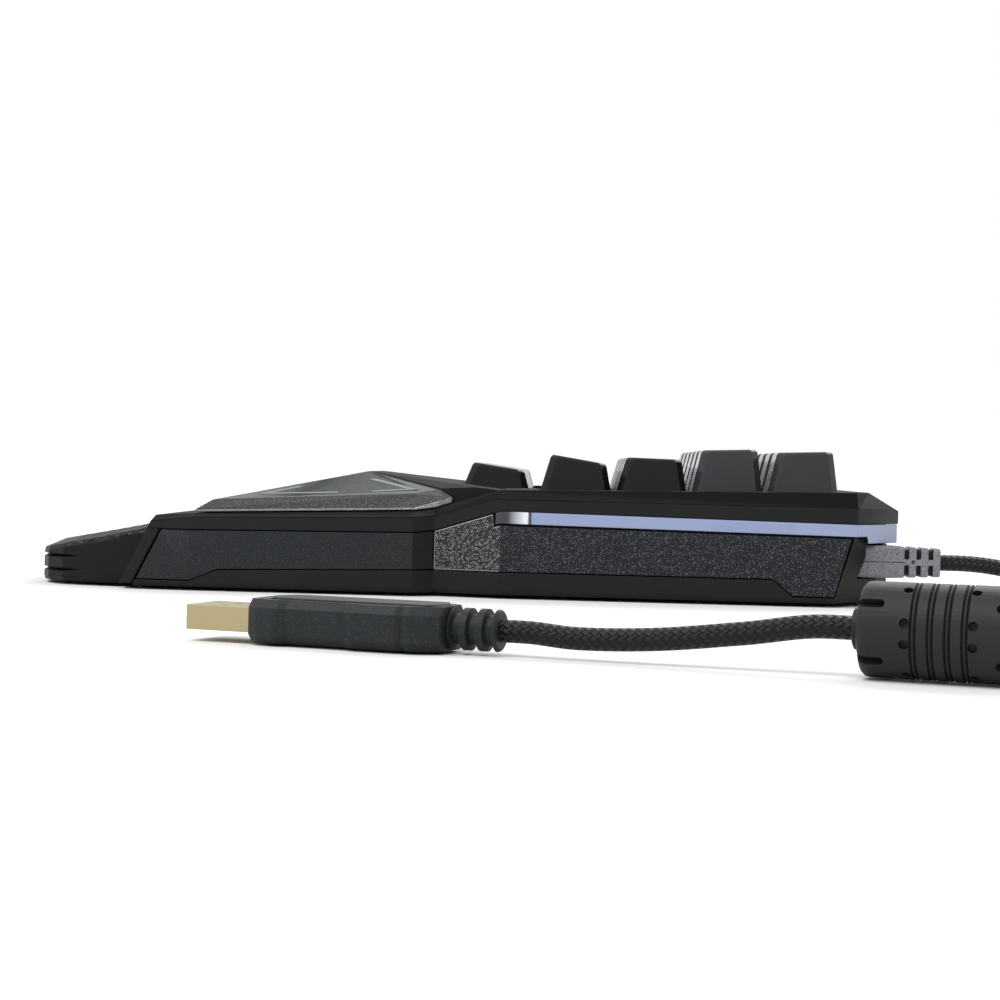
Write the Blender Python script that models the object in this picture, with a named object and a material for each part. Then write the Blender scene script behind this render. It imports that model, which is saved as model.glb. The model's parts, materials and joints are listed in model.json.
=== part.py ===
"""A one-handed gaming keypad with a palm plate, a wrist rest and a braided lead that ends in a plug.

Metres, +Z up. +X runs from the wrist rest to the cable end, and -Y is the user's right-hand side.
The origin lies on the table under the middle of the housing.
"""

import math

import bmesh
import bpy
from mathutils import Matrix, Vector

# Key field
KEY_PITCH = 0.01905
FIRST_ROW_LEAD = 0.0026
KEY_COLUMNS = 6
KEY_ROWS = 5
KEY_TRAVEL = 0.0035
CAP_WIDTH = 0.0182
CAP_CORNER = 0.0017
CAP_WALL = 0.0012
CAP_FRONT_LEAN = 0.0026
CAP_REAR_LEAN = 0.0014
CAP_SIDE_LEAN = 0.0022
CAP_TOP_BEVEL = 0.0006
CAP_HEIGHT = 0.0123
CAP_HEIGHT_SHARES = [(0.6, 0.455), (0.795, 0.635), (0.775, 0.755), (0.96, 1.0), (0.95, 0.99)]
CAP_ROOF = 0.0018
STEM_WIDTH = 0.0052
STEM_CORNER = 0.0006

# Housing, along its length
WRIST_LENGTH = 0.033
PALM_LENGTH = 0.0765
REAR_MARGIN = 0.0153
SIDE_MARGIN = 0.01085
PLATE_SETBACK = 0.0101
WAIST_SETBACK = 0.0064
WAIST_FRONT_RUN = 0.0051
WAIST_REAR_RUN = 0.0166
WAIST_DEPTH = 0.004
FRONT_TAPER = 0.002
CORNER_RUN = 0.0124
CORNER_DEPTH = 0.017
CASE_SETBACK = 0.0027
FRONT_LEAN_SHARE = 0.5
PANEL_LEAN_SHARE = 0.28

# Housing, upwards
FRAME_HEIGHT = 0.0283
SIDE_DEPTH = 0.0142
FRAME_EDGE = 0.003
FRAME_ROOF = 0.002
FRAME_WALL = 0.0022
FRAME_SLOPE_RUN = 0.008
FRONT_LEG = 0.0034
LEG_CLEARANCE = 0.001
LEG_STEP = 0.0001
CASE_BOTTOM = 0.0007
CASE_FLOOR = 0.002
CASE_WALL = 0.002
CASE_EDGE = 0.0012
CASE_LAP = 0.0012
SKIRT_HEIGHT = 0.0056
SKIRT_END_RUN = 0.007
SKIRT_REAR_RUN = 0.005
SKIRT_FRONT_SETBACK = 0.0095
SKIRT_REAR_SETBACK = 0.0155
PANEL_THICKNESS = 0.0022
LIGHT_BAR_HEIGHT = 0.0031
LIGHT_BAR_REAR_HEIGHT = 0.0048
LIGHT_BAR_STEP_RUN = 0.003

# How far the frame's lower edge, bevel line and upper edge lie below its top, as shares of SIDE_DEPTH
SIDE_DROP_SHARES = [
    (0.927, 0.797, 0.6975),
    (0.927, 0.708, 0.648),
    (0.877, 0.618, 0.518),
    (0.847, 0.588, 0.468),
    (0.470, 0.267, 0.106),
    (0.549, 0.279, 0.0),
    (0.549, 0.319, 0.0),
]

# Palm plate
PLATE_THICKNESS = 0.002
PLATE_BORDER = 0.0055
PLATE_INSET = 0.0035
PLATE_FRONT_RISE = 0.0034
PLATE_REAR_RISE = 0.0043
PALM_RISE = 0.0022
RIDGE_HALF_WIDTH = 0.020
RIDGE_RUN = 0.0357
PLATE_REAR_RUN = 0.0059
PLATE_REAR_SETBACK = 0.0026
PLATE_RIM = 0.0006
PLATE_REAR_RIM = 0.0014
PALM_SINK = 0.005
INLAY_THICKNESS = 0.0008
INLAY_BORDER = 0.0009

# Wrist rest
WRIST_BOTTOM = 0.0006
WRIST_DROP = 0.0032
WRIST_NOSE_SHARE = 0.579
WRIST_HALF_WIDTH = 0.060
WRIST_EDGE = 0.0012
WRIST_CROWN = 0.0014
WRIST_CROWN_SHARE = 0.5
WRIST_WIDTH_SHARES = [(0.0, 0.68), (0.03, 0.78), (0.1, 0.865), (0.24, 0.93), (0.5, 0.975), (1.0, 1.0)]
GROOVE_DEPTH = 0.0012
GROOVE_WIDTH = 0.0009
GROOVE_HEIGHT_SHARES = [0.37, 0.8]
GROOVE_RUN = 0.0145
RIB_PITCH = 0.0032
RIB_WIDTH = 0.0012
RIB_DEPTH = 0.0006
RIB_COUNT = 7
RIB_SETBACK = 0.0029

# Inside
DECK_THICKNESS = 0.0016
DECK_CLEARANCE = 0.0012
DECK_MARGIN = 0.0015
DECK_WALL = 0.0012
KEY_SINK = 0.0021
CHIMNEY_HEIGHT = 0.0025
CHIMNEY_WALL = 0.001
COLLAR_WALL = 0.0018
DOME_HEIGHT = 0.0042
DOME_WIDTH = 0.0095
DOME_CROWN = 0.006
DOME_WALL = 0.0009
SHEET_THICKNESS = 0.0008
MEMBRANE_THICKNESS = 0.0006
BACK_PLATE_THICKNESS = 0.001
STACK_RIB = 0.002
STACK_RIB_SHARE = 0.78
BOARD_LENGTH = 0.052
BOARD_WIDTH = 0.030
BOARD_THICKNESS = 0.0016
BOARD_STANDOFF = 0.0012
CHIP_WIDTH = 0.010
CHIP_HEIGHT = 0.001

# Screws
SCREW_SHAFT = 0.0026
SCREW_HEAD = 0.0052
SCREW_HEAD_HEIGHT = 0.0014
SCREW_LENGTH = 0.0125
SCREW_BOSS = 0.0064
SCREW_SOCKET = 0.0016
SCREW_FRONT_RUN = 0.0235
SCREW_FRONT_OFFSET = 0.040
SCREW_REAR_SETBACK = 0.0095
SCREW_REAR_OFFSET = 0.040

# Feet
FOOT_THICKNESS = 0.0012
FOOT_WIDTH = 0.008
FOOT_INSET = 0.007
FRONT_FOOT_LENGTH = 0.054
REAR_FOOT_LENGTH = 0.0212
REAR_FOOT_SETBACK = 0.028

# Lead
CORD_DIAMETER = 0.004
CORD_STEP = 2.2
ROUTE_PARTS = 24
BOOT_DROP = 0.0045
BOOT_OFFSET = 0.011
BOOT_WIDTH = 0.0070
BOOT_BASE_WIDTH = 0.0080
BOOT_INSIDE = 0.0105
BOOT_OUTSIDE = 0.012
BOOT_WINDOW_RUN = 0.0055
BOOT_WINDOW_LEAN = 0.0034
BOOT_SLOT = 0.0012
BOOT_SLOT_PITCH = 0.003
BOOT_SLOTS = 3
BOOT_SLOT_DEPTH = 0.0008
BOOT_SLOT_RISE = 0.0003
BOOT_WEB = 0.0015
BOOT_EDGE = 0.00075
COIL_CENTRE = (0.148, -0.168)
COIL_GAP = 0.0005
COIL_CLIMB_TURNS = 0.5
COIL_INNER_RADIUS = 0.0175
COIL_LAYERS = 4
COIL_TURNS = 10.125
LOOP_POINTS = 24
BEAD_CENTRE = (0.088, -0.248)
BEAD_LENGTH = 0.0265
BEAD_DIAMETER = 0.0157
BEAD_COLLAR_LENGTH = 0.0015
BEAD_BEVEL = 0.0008
BEAD_SIDES = 12
BEAD_COLLAR_DIAMETER = 0.0070
BEAD_RING_DEPTH = 0.0005
BEAD_RING_WIDTH = 0.0008
BEAD_RING_PITCH = 0.0027
BEAD_RINGS = 4
END_HEADING = math.radians(-19)
CORD_END_LENGTH = 0.0615
PLUG_LENGTH = 0.0366
PLUG_WIDTH = 0.0173
PLUG_THICKNESS = 0.0084
PLUG_WIDTH_SHARES = [
    (0.0, 0.84),
    (0.05, 0.92),
    (0.16, 1.0),
    (0.205, 0.885),
    (0.51, 0.885),
    (0.545, 1.0),
    (0.775, 1.0),
    (0.815, 0.92),
    (0.86, 1.0),
    (1.0, 0.6),
]
PLUG_EDGE = 0.0015
RELIEF_LENGTH = 0.0092
RELIEF_WIDTH = 0.0075
RELIEF_RIBS = 3
RELIEF_GROOVE = 0.0008
RELIEF_DEPTH = 0.001
SHELL_LENGTH = 0.0131
SHELL_WIDTH = 0.012
SHELL_THICKNESS = 0.0045
SHELL_WALL = 0.0004
SHELL_WINDOW = 0.0022
SHELL_WINDOW_OFFSET = 0.0027
SHELL_WINDOW_RUN = 0.006
TONGUE_THICKNESS = 0.0018
TONGUE_RECESS = 0.0008
SHELL_SEAT = 0.002

# Places that the lead and the tail run through, and heights of the end as shares of its run
LEAD_ROUTE = [
    (0.135, -0.059, 0.0102),
    (0.152, -0.072, 0.0058),
    (0.168, -0.095, 0.0022),
    (0.177, -0.125, 0.002),
    (0.1775, -0.150, 0.002),
]
TAIL_ROUTE = [
    (0.157, -0.200, 0.0126),
    (0.146, -0.213, 0.007),
    (0.136, -0.227, 0.003),
    (0.130, -0.240, 0.0022),
    (0.124, -0.250, 0.0026),
    (0.116, -0.2565, 0.0048),
]
END_HEIGHTS = [(0.3, 0.0060), (0.55, 0.0042), (0.78, 0.0036)]

# Clearance between neighbours, and how far a cutter runs past what it cuts
GAP = 0.0003
OVERRUN = 0.004

# Places worked out from the sizes
LENGTH = WRIST_LENGTH + PALM_LENGTH + KEY_ROWS * KEY_PITCH + REAR_MARGIN
NOSE_X = -LENGTH / 2
FRONT_X = NOSE_X + WRIST_LENGTH
FIELD_FRONT_X = FRONT_X + PALM_LENGTH
FIELD_REAR_X = FIELD_FRONT_X + KEY_ROWS * KEY_PITCH
REAR_X = FIELD_REAR_X + REAR_MARGIN
WAIST_X = FIELD_FRONT_X - WAIST_SETBACK
WAIST_FRONT_X = WAIST_X - WAIST_FRONT_RUN
WAIST_REAR_X = WAIST_X + WAIST_REAR_RUN
CORNER_X = REAR_X - CORNER_RUN
CASE_REAR_X = REAR_X - CASE_SETBACK
PLATE_FRONT_X = FRONT_X + PLATE_SETBACK
FIELD_HALF_WIDTH = KEY_COLUMNS * KEY_PITCH / 2
HALF_WIDTH = FIELD_HALF_WIDTH + SIDE_MARGIN
WALL_INSET = PANEL_THICKNESS + GAP

FRONT_TOP = FRAME_HEIGHT - SIDE_DEPTH * SIDE_DROP_SHARES[0][2]
PALM_HEIGHT = FRAME_HEIGHT + PALM_RISE
WRIST_REAR_HEIGHT = FRONT_TOP - WRIST_DROP
WRIST_NOSE_HEIGHT = WRIST_REAR_HEIGHT * WRIST_NOSE_SHARE
BOOT_HEIGHT = FRAME_HEIGHT - SIDE_DEPTH * SIDE_DROP_SHARES[-1][0] - LIGHT_BAR_REAR_HEIGHT - BOOT_DROP
CAP_BASE = FRAME_HEIGHT - KEY_SINK
DECK_TOP = CAP_BASE - KEY_TRAVEL - DECK_CLEARANCE
DECK_BOTTOM = DECK_TOP - DECK_THICKNESS
STEM_BOTTOM = DECK_BOTTOM - GAP
DOME_TOP = STEM_BOTTOM - GAP
SHEET_BOTTOM = DOME_TOP - DOME_HEIGHT - SHEET_THICKNESS
MEMBRANE_BOTTOM = SHEET_BOTTOM - GAP - MEMBRANE_THICKNESS
BACK_PLATE_TOP = MEMBRANE_BOTTOM - GAP
BACK_PLATE_BOTTOM = BACK_PLATE_TOP - BACK_PLATE_THICKNESS
CASE_INSIDE = CASE_BOTTOM + CASE_FLOOR
BOARD_BOTTOM = CASE_INSIDE + BOARD_STANDOFF + GAP

# The skirt's four corners along the side, the light bar's front and the rear panel's end
SKIRT_X = [
    FRONT_X + SKIRT_FRONT_SETBACK,
    FRONT_X + SKIRT_FRONT_SETBACK + SKIRT_END_RUN,
    CORNER_X - SKIRT_REAR_SETBACK - SKIRT_REAR_RUN,
    CORNER_X - SKIRT_REAR_SETBACK,
]
BAR_FRONT_X = WAIST_REAR_X - LIGHT_BAR_HEIGHT / 2
BAR_STEP_X = CORNER_X + LIGHT_BAR_STEP_RUN
PANEL_REAR_X = CORNER_X - CASE_EDGE

# The controller board's centre, the boot's axis and the screws
BOARD_PLACE = (FIELD_REAR_X - BOARD_LENGTH / 2 - DECK_MARGIN, -FIELD_HALF_WIDTH * STACK_RIB_SHARE / 2)
BOOT_Y = BOOT_OFFSET - HALF_WIDTH
BOOT_END_X = CASE_REAR_X + BOOT_OUTSIDE
SCREW_FRONT_X = WAIST_FRONT_X - SCREW_FRONT_RUN
SCREW_REAR_X = REAR_X - SCREW_REAR_SETBACK
SCREW_PLACES = [
    (SCREW_FRONT_X, -SCREW_FRONT_OFFSET),
    (SCREW_FRONT_X, SCREW_FRONT_OFFSET),
    (SCREW_REAR_X, -SCREW_REAR_OFFSET),
    (SCREW_REAR_X, SCREW_REAR_OFFSET),
]
SCREW_LOW = CASE_BOTTOM + SCREW_SOCKET
SCREW_NECK = SCREW_LOW + SCREW_HEAD_HEIGHT
SCREW_TOP = SCREW_NECK + SCREW_LENGTH
SCREW_SEAM = SCREW_NECK + SCREW_LENGTH / 2
COIL_PITCH = CORD_DIAMETER + COIL_GAP
HEADING = Vector((-math.cos(END_HEADING), -math.sin(END_HEADING), 0.0))
ACROSS = Vector((-HEADING.y, HEADING.x, 0.0))
BEAD_HALF = BEAD_LENGTH / 2 + BEAD_COLLAR_LENGTH
BEAD_AXIS_PLACE = Vector((*BEAD_CENTRE, BEAD_DIAMETER / 2))
PLUG_BACK = BEAD_AXIS_PLACE + HEADING * (BEAD_HALF + CORD_END_LENGTH)
PLUG_BACK.z = PLUG_THICKNESS / 2
PLUG_FRONT = PLUG_BACK + HEADING * (PLUG_LENGTH + RELIEF_LENGTH)
CORNER_WORDS = ("front_right", "front_left", "rear_right", "rear_left")

# Columns of each key, counted from the user's right, in each row from the front
ROW_KEYS = [[(2, 4), (5, 5)]] + [[(c, c) for c in range(KEY_COLUMNS)] for _ in range(KEY_ROWS - 1)]
FIRST_ROW_START = 2

# Rows along the housing: x, half width of the frame in plan
FRAME_PLAN = [
    (FRONT_X, HALF_WIDTH - FRONT_TAPER),
    (PLATE_FRONT_X, HALF_WIDTH),
    (WAIST_FRONT_X, HALF_WIDTH),
    (WAIST_X, HALF_WIDTH - WAIST_DEPTH),
    (WAIST_REAR_X, HALF_WIDTH),
    (CORNER_X, HALF_WIDTH),
    (REAR_X, HALF_WIDTH - CORNER_DEPTH),
]
CASE_PLAN = FRAME_PLAN[:-2] + [(PANEL_REAR_X, HALF_WIDTH), (CASE_REAR_X, HALF_WIDTH - CORNER_DEPTH)]
FRAME_SIDE = [
    (place[0], *(FRAME_HEIGHT - SIDE_DEPTH * share for share in shares))
    for place, shares in zip(FRAME_PLAN, SIDE_DROP_SHARES)
]


def along(table, x, column=1):
    """The value in one column of a table at x, straight between its rows."""
    before = table[0]
    for row in table:
        if x <= row[0]:
            share = (x - before[0]) / (row[0] - before[0]) if row[0] > before[0] else 0.0
            return before[column] + share * (row[column] - before[column])
        before = row
    return before[column]


def frame_half(x):
    return along(FRAME_PLAN, x)


def case_half(x):
    """The case follows the frame, but its rear corners are cut earlier."""
    return along(CASE_PLAN, x)


def seam(x):
    return along(FRAME_SIDE, x, 1)


def front_x(z):
    """The leaning front of the frame at height z."""
    return FRONT_X + FRONT_LEAN_SHARE * (z - FRONT_TOP)


def bar_bottom(x):
    drop = LIGHT_BAR_HEIGHT if x <= BAR_STEP_X else LIGHT_BAR_REAR_HEIGHT
    return seam(x) - drop


# Scene and helpers

for old in list(bpy.data.objects):
    bpy.data.objects.remove(old, do_unlink=True)

parts = bpy.data.collections.new("gaming_keypad")
cutters = bpy.data.collections.new("cutters")
bpy.context.scene.collection.children.link(parts)
bpy.context.scene.collection.children.link(cutters)
cutters.hide_render = True


def material(name, colour, roughness, metallic=0.0):
    made = bpy.data.materials.new(name)
    made.use_nodes = True
    shader = made.node_tree.nodes["Principled BSDF"]
    shader.inputs["Base Color"].default_value = (*colour, 1.0)
    shader.inputs["Roughness"].default_value = roughness
    shader.inputs["Metallic"].default_value = metallic
    return made


SMOOTH_BLACK = material("smooth_black", (0.016, 0.018, 0.019), 0.45)
TEXTURED_BLACK = material("textured_black", (0.028, 0.033, 0.036), 0.7)
PLATE_GREY = material("plate_grey", (0.07, 0.08, 0.08), 0.6)
INLAY_GREY = material("inlay_grey", (0.11, 0.12, 0.12), 0.25)
KEY_BLACK = material("key_black", (0.045, 0.05, 0.055), 0.5)
BAR_LILAC = material("bar_lilac", (0.31, 0.38, 0.62), 0.35)
BOARD_GREEN = material("board_green", (0.02, 0.12, 0.05), 0.5)
STEEL = material("steel", (0.5, 0.5, 0.5), 0.35, 1.0)
SILICONE = material("silicone", (0.75, 0.76, 0.74), 0.6)
FILM = material("film", (0.55, 0.6, 0.62), 0.3)
RUBBER = material("rubber", (0.02, 0.02, 0.02), 0.85)
BOOT_GREY = material("boot_grey", (0.08, 0.085, 0.09), 0.75)
BRAID = material("braid", (0.02, 0.02, 0.022), 0.8)
GOLD = material("gold", (0.75, 0.6, 0.3), 0.25, 1.0)
TONGUE_WHITE = material("tongue_white", (0.8, 0.8, 0.78), 0.5)


def placed(name, mesh, look):
    """A part if it has a look, or else a cutter, which isn't rendered."""
    made = bpy.data.objects.new(name, mesh)
    if look is None:
        cutters.objects.link(made)
        made.hide_render = True
        made.display_type = "WIRE"
    else:
        parts.objects.link(made)
        if not mesh.materials:
            mesh.materials.append(look)
    return made


def from_bmesh(name, bm, look=None):
    bmesh.ops.recalc_face_normals(bm, faces=bm.faces)
    mesh = bpy.data.meshes.new(name)
    bm.to_mesh(mesh)
    bm.free()
    return placed(name, mesh, look)


def loft(name, rings, look=None, folded=False):
    """Bridges rings of equally many points. A folded end is closed by strips between its mirrored points."""
    bm = bmesh.new()
    made = [[bm.verts.new(point) for point in ring] for ring in rings]
    count = len(made[0])
    for one, two in zip(made, made[1:]):
        for k in range(count):
            bm.faces.new([one[k], one[(k + 1) % count], two[(k + 1) % count], two[k]])
    for end in (made[0], made[-1]):
        if folded:
            for k in range(count // 2 - 1):
                bm.faces.new([end[k], end[k + 1], end[count - 2 - k], end[count - 1 - k]])
        else:
            bm.faces.new(end)
    bm.normal_update()
    bmesh.ops.triangulate(bm, faces=bm.faces)
    return from_bmesh(name, bm, look)


def hull(name, points, look=None):
    bm = bmesh.new()
    for point in points:
        bm.verts.new(point)
    shell = bmesh.ops.convex_hull(bm, input=bm.verts)
    bmesh.ops.delete(bm, geom=shell["geom_interior"], context="VERTS")
    return from_bmesh(name, bm, look)


def box_into(bm, low, high):
    size = [b - a for a, b in zip(low, high)]
    middle = [(a + b) / 2 for a, b in zip(low, high)]
    bmesh.ops.create_cube(bm, size=1.0, matrix=Matrix.Translation(middle) @ Matrix.Diagonal((*size, 1.0)))


def boxes(name, corners, look=None):
    """Boxes given by their low and high corners, in one mesh."""
    bm = bmesh.new()
    for low, high in corners:
        box_into(bm, low, high)
    return from_bmesh(name, bm, look)


def post_into(bm, centre, wide_low, wide_high, low, high, sides=8):
    """An upright post or cone whose widths are measured across its flats."""
    reach = 1 / math.cos(math.pi / sides) / 2
    turn = Matrix.Rotation(math.pi / sides, 4, "Z")
    bmesh.ops.create_cone(
        bm,
        cap_ends=True,
        segments=sides,
        radius1=wide_low * reach,
        radius2=wide_high * reach,
        depth=high - low,
        matrix=Matrix.Translation((centre[0], centre[1], (low + high) / 2)) @ turn,
    )


def posts(name, centres, width, low, high, look=None, sides=8):
    bm = bmesh.new()
    for centre in centres:
        post_into(bm, centre, width, width, low, high, sides)
    return from_bmesh(name, bm, look)


def combine(target, tool, how):
    step = target.modifiers.new(f"{how.lower()}_{tool.name}", "BOOLEAN")
    step.operation = how
    step.solver = "EXACT"
    step.object = tool
    return target


def cut(target, tool):
    return combine(target, tool, "DIFFERENCE")


def join(target, tool):
    return combine(target, tool, "UNION")


def mirrored(points):
    """The points, then their twins across the middle plane in reverse order, which closes a ring."""
    return points + [(x, -y, z) for x, y, z in reversed(points)]


# Frame

def frame_ring(x, wall=0.0, roof=0.0, drop=0.0, lean_share=0.0):
    """A section of the frame at x: lower edge, bevel line and upper edge of both sides."""
    half = frame_half(x) - wall
    low, line, top = (along(FRAME_SIDE, x, k) for k in (1, 2, 3))
    heights = [low - drop, line - roof / 2, top - roof]
    insets = [0.0, 0.0, FRAME_EDGE]
    return mirrored(
        [(x + lean_share * (z - top), inset - half, z) for z, inset in zip(heights, insets)]
    )


def frame_rings(wall=0.0, roof=0.0, drop=0.0):
    """The frame's sections from front to rear, set in by a wall and a roof."""
    front = FRONT_X + (FRONT_LEG if wall else 0.0)
    rings = [frame_ring(front, wall, roof, drop, FRONT_LEAN_SHARE)]
    rings += [frame_ring(row[0], wall, roof, drop) for row in FRAME_PLAN[1:-1]]
    rear = frame_ring(REAR_X, wall, roof, drop)
    shift = Vector((-wall, 0.0, 0.0))
    slope = Vector((-FRAME_SLOPE_RUN, 0.0, 0.0))
    rear = [tuple(Vector(p) + shift + (slope if k in (2, 3) else Vector())) for k, p in enumerate(rear)]
    half_drop = FRAME_SLOPE_RUN / CORNER_RUN * CORNER_DEPTH / 2
    rear[2] = (rear[2][0], rear[2][1] - half_drop, rear[2][2])
    rear[3] = (rear[3][0], rear[3][1] + half_drop, rear[3][2])
    return rings + [rear]


def palm_points(spread=0.0):
    """The raised palm rest's corners on the near side: its rim, its border's upper edge and the ridge."""
    foot = HALF_WIDTH - PLATE_INSET
    border = foot - PLATE_BORDER
    front_z, waist_z = (along(FRAME_SIDE, x, 3) for x in (PLATE_FRONT_X, WAIST_FRONT_X))
    front = PLATE_FRONT_X
    rear = FIELD_FRONT_X - PLATE_REAR_SETBACK
    rear_z = along(FRAME_SIDE, rear, 3) + GAP + PLATE_REAR_RIM
    narrowing = WAIST_DEPTH / WAIST_FRONT_RUN
    edge_front = Vector((front + PLATE_INSET, -border, front_z + PLATE_FRONT_RISE))
    edge_waist = Vector((WAIST_FRONT_X, -border, waist_z + PLATE_REAR_RISE))
    ridge = Vector((edge_front.x + RIDGE_RUN, -RIDGE_HALF_WIDTH, PALM_HEIGHT))
    flat = (edge_waist - edge_front).cross(ridge - edge_front)
    edge_x, edge_y = WAIST_FRONT_X + PLATE_REAR_RUN, narrowing * PLATE_REAR_RUN - border
    fall = flat.x * (edge_x - edge_front.x) + flat.y * (edge_y - edge_front.y)
    edge_rear = Vector((edge_x, edge_y, edge_front.z - fall / flat.z))
    return {
        "foot_front": (front - spread, -foot - spread, front_z + GAP + PLATE_RIM),
        "foot_waist": (WAIST_FRONT_X, -foot - spread, waist_z + GAP + PLATE_RIM),
        "foot_rear": (rear + spread, narrowing * (rear - WAIST_FRONT_X) - foot - spread, rear_z),
        "edge_front": edge_front,
        "edge_waist": edge_waist,
        "edge_rear": edge_rear,
        "ridge": ridge,
    }


def palm_hull(name, drop=0.0, spread=0.0, look=None, shelf=False):
    """The raised palm rest as one convex solid, lowered by drop; the shelf takes it on to the keys."""
    points = list(palm_points(spread).values())
    if shelf:
        shelf_z = along(FRAME_SIDE, WAIST_REAR_X, 3) - GAP
        points.append((WAIST_REAR_X, FRAME_EDGE + PLATE_INSET - HALF_WIDTH, shelf_z))
    near = [Vector(p) - Vector((0.0, 0.0, drop)) for p in points]
    every = near + [Vector((p.x, -p.y, p.z)) for p in near]
    sunk = [Vector((p.x, p.y, p.z - PALM_SINK)) for p in every]
    return hull(name, every + sunk, look)


def shelf_prism(name, shift):
    """A cutter over the shelf between the ridge and the keys, where the frame itself shows."""
    p = palm_points()
    edge, ridge = p["edge_rear"], p["ridge"]
    corners = [
        (ridge[0] + shift, ridge[1]),
        (edge[0] + shift, edge[1]),
        (WAIST_REAR_X + OVERRUN, edge[1]),
    ]
    outline = corners + [(x, -y) for x, y in reversed(corners)]
    return loft(name, [[(x, y, z) for x, y in outline] for z in (0.0, PALM_HEIGHT + OVERRUN)])


def inlay_solid(name, side, grow, rise, depth, look=None):
    """A slab under the glossy facet, on the near side for 1 and on the far side for -1."""
    p = palm_points()
    corners = [Vector(p[k]) for k in ("edge_front", "edge_waist", "edge_rear", "ridge")]
    middle = sum(corners, Vector()) / len(corners)
    points = []
    for corner in corners:
        outward = (corner - middle).normalized()
        point = corner + outward * (grow - INLAY_BORDER)
        points.append((point.x, side * point.y, point.z + rise))
    return hull(name, points + [(x, y, z - depth) for x, y, z in points], look)


def make_palm_plate():
    plate = palm_hull("palm_plate", look=PLATE_GREY)
    cut(plate, palm_hull("plate_underside", drop=PLATE_THICKNESS, spread=2 * GAP))
    cut(plate, loft("plate_seat", frame_rings(roof=-GAP), folded=True))
    cut(plate, shelf_prism("plate_notch", 0.0))
    for side, word in ((1, "right"), (-1, "left")):
        rise = OVERRUN
        seat = inlay_solid(f"inlay_seat_{word}", side, GAP, rise, rise + INLAY_THICKNESS + GAP)
        cut(plate, seat)
        inlay_solid(f"palm_inlay_{word}", side, 0.0, 0.0, INLAY_THICKNESS, INLAY_GREY)


def make_top_frame():
    frame = loft("top_frame", frame_rings(), SMOOTH_BLACK, folded=True)
    leg_low = CASE_BOTTOM + LEG_CLEARANCE / 2
    leg_high = seam(FRONT_X) + LEG_CLEARANCE
    half = frame_half(FRONT_X) - LEG_STEP
    depths = (LEG_STEP, FRONT_LEG - LEG_STEP)
    leg = [(front_x(z) + x, y, z) for z in (leg_low, leg_high) for x in depths for y in (-half, half)]
    join(frame, hull("frame_leg", leg))
    join(frame, palm_hull("frame_palm", drop=PLATE_THICKNESS + GAP))
    shelf = palm_hull("frame_shelf", shelf=True)
    combine(shelf, shelf_prism("frame_shelf_prism", GAP), "INTERSECT")
    join(frame, shelf)
    inside = loft("frame_inside", frame_rings(FRAME_WALL, FRAME_ROOF, OVERRUN), folded=True)
    cut(inside, field_prism("field_collar", COLLAR_WALL, DECK_TOP + GAP, FRAME_HEIGHT + OVERRUN))
    cut(frame, inside)
    cut(frame, palm_hull("frame_palm_inside", drop=PLATE_THICKNESS + GAP + FRAME_ROOF))
    cut(frame, field_prism("deck_room", DECK_MARGIN + GAP, 0.0, DECK_TOP + GAP))
    cut(frame, field_prism("field_opening", 0.0, 0.0, FRAME_HEIGHT + 2 * OVERRUN))
    add_frame_bosses(frame)


def field_outline(spread, z):
    """The key field's outline: the full rows, and a first row that starts past the palm's thumb side."""
    edge = FIELD_HALF_WIDTH + spread
    start = FIRST_ROW_START * KEY_PITCH - FIELD_HALF_WIDTH - spread
    front = FIELD_FRONT_X - FIRST_ROW_LEAD - spread
    split = FIELD_FRONT_X + KEY_PITCH - spread
    rear = FIELD_REAR_X + spread
    outline = [(front, start), (split, start), (split, -edge), (rear, -edge), (rear, edge), (front, edge)]
    return [(x, y, z) for x, y in outline]


def field_prism(name, spread, low, high, look=None):
    return loft(name, [field_outline(spread, z) for z in (low, high)], look)


def add_frame_bosses(frame):
    """Bosses that hang from the frame's roof and take the screws' threads."""
    for k, (x, y) in enumerate(SCREW_PLACES):
        palm_roof = along(FRAME_SIDE, WAIST_FRONT_X, 3) + PLATE_REAR_RISE - FRAME_ROOF
        roof = palm_roof if x < FIELD_FRONT_X else FRAME_HEIGHT - FRAME_ROOF
        boss = posts(f"frame_boss_{k}", [(x, y)], SCREW_BOSS, SCREW_SEAM + GAP, roof + GAP)
        join(frame, boss)
        bore = posts(f"frame_bore_{k}", [(x, y)], SCREW_SHAFT + 2 * GAP, CASE_BOTTOM, SCREW_TOP + GAP)
        cut(frame, bore)


# Bottom case

def skirt_top(x):
    """The skirt's upper edge: low at both ends, where the side panels reach down."""
    low = CASE_BOTTOM + CASE_EDGE + GAP
    high = CASE_BOTTOM + SKIRT_HEIGHT
    table = [
        (FRONT_X - LENGTH, low),
        (SKIRT_X[0], low),
        (SKIRT_X[1], high - CASE_EDGE),
        (WAIST_FRONT_X, high),
        (SKIRT_X[2], high),
        (SKIRT_X[3], low),
    ]
    return along(table, x)


def case_ring(x, ledge, inset, lean=0.0, pivot=0.0):
    """A section of the case: a chamfered lower edge, the skirt, a ledge and the wall behind the panels."""
    half = case_half(x)
    top = seam(x) + CASE_LAP
    foot = CASE_BOTTOM
    points = [
        (CASE_EDGE - half, foot),
        (-half, foot + CASE_EDGE),
        (-half, ledge),
        (inset - half, ledge),
        (inset - half, top),
    ]
    return mirrored([(x + lean * (z - pivot), y, z) for y, z in points])


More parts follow.
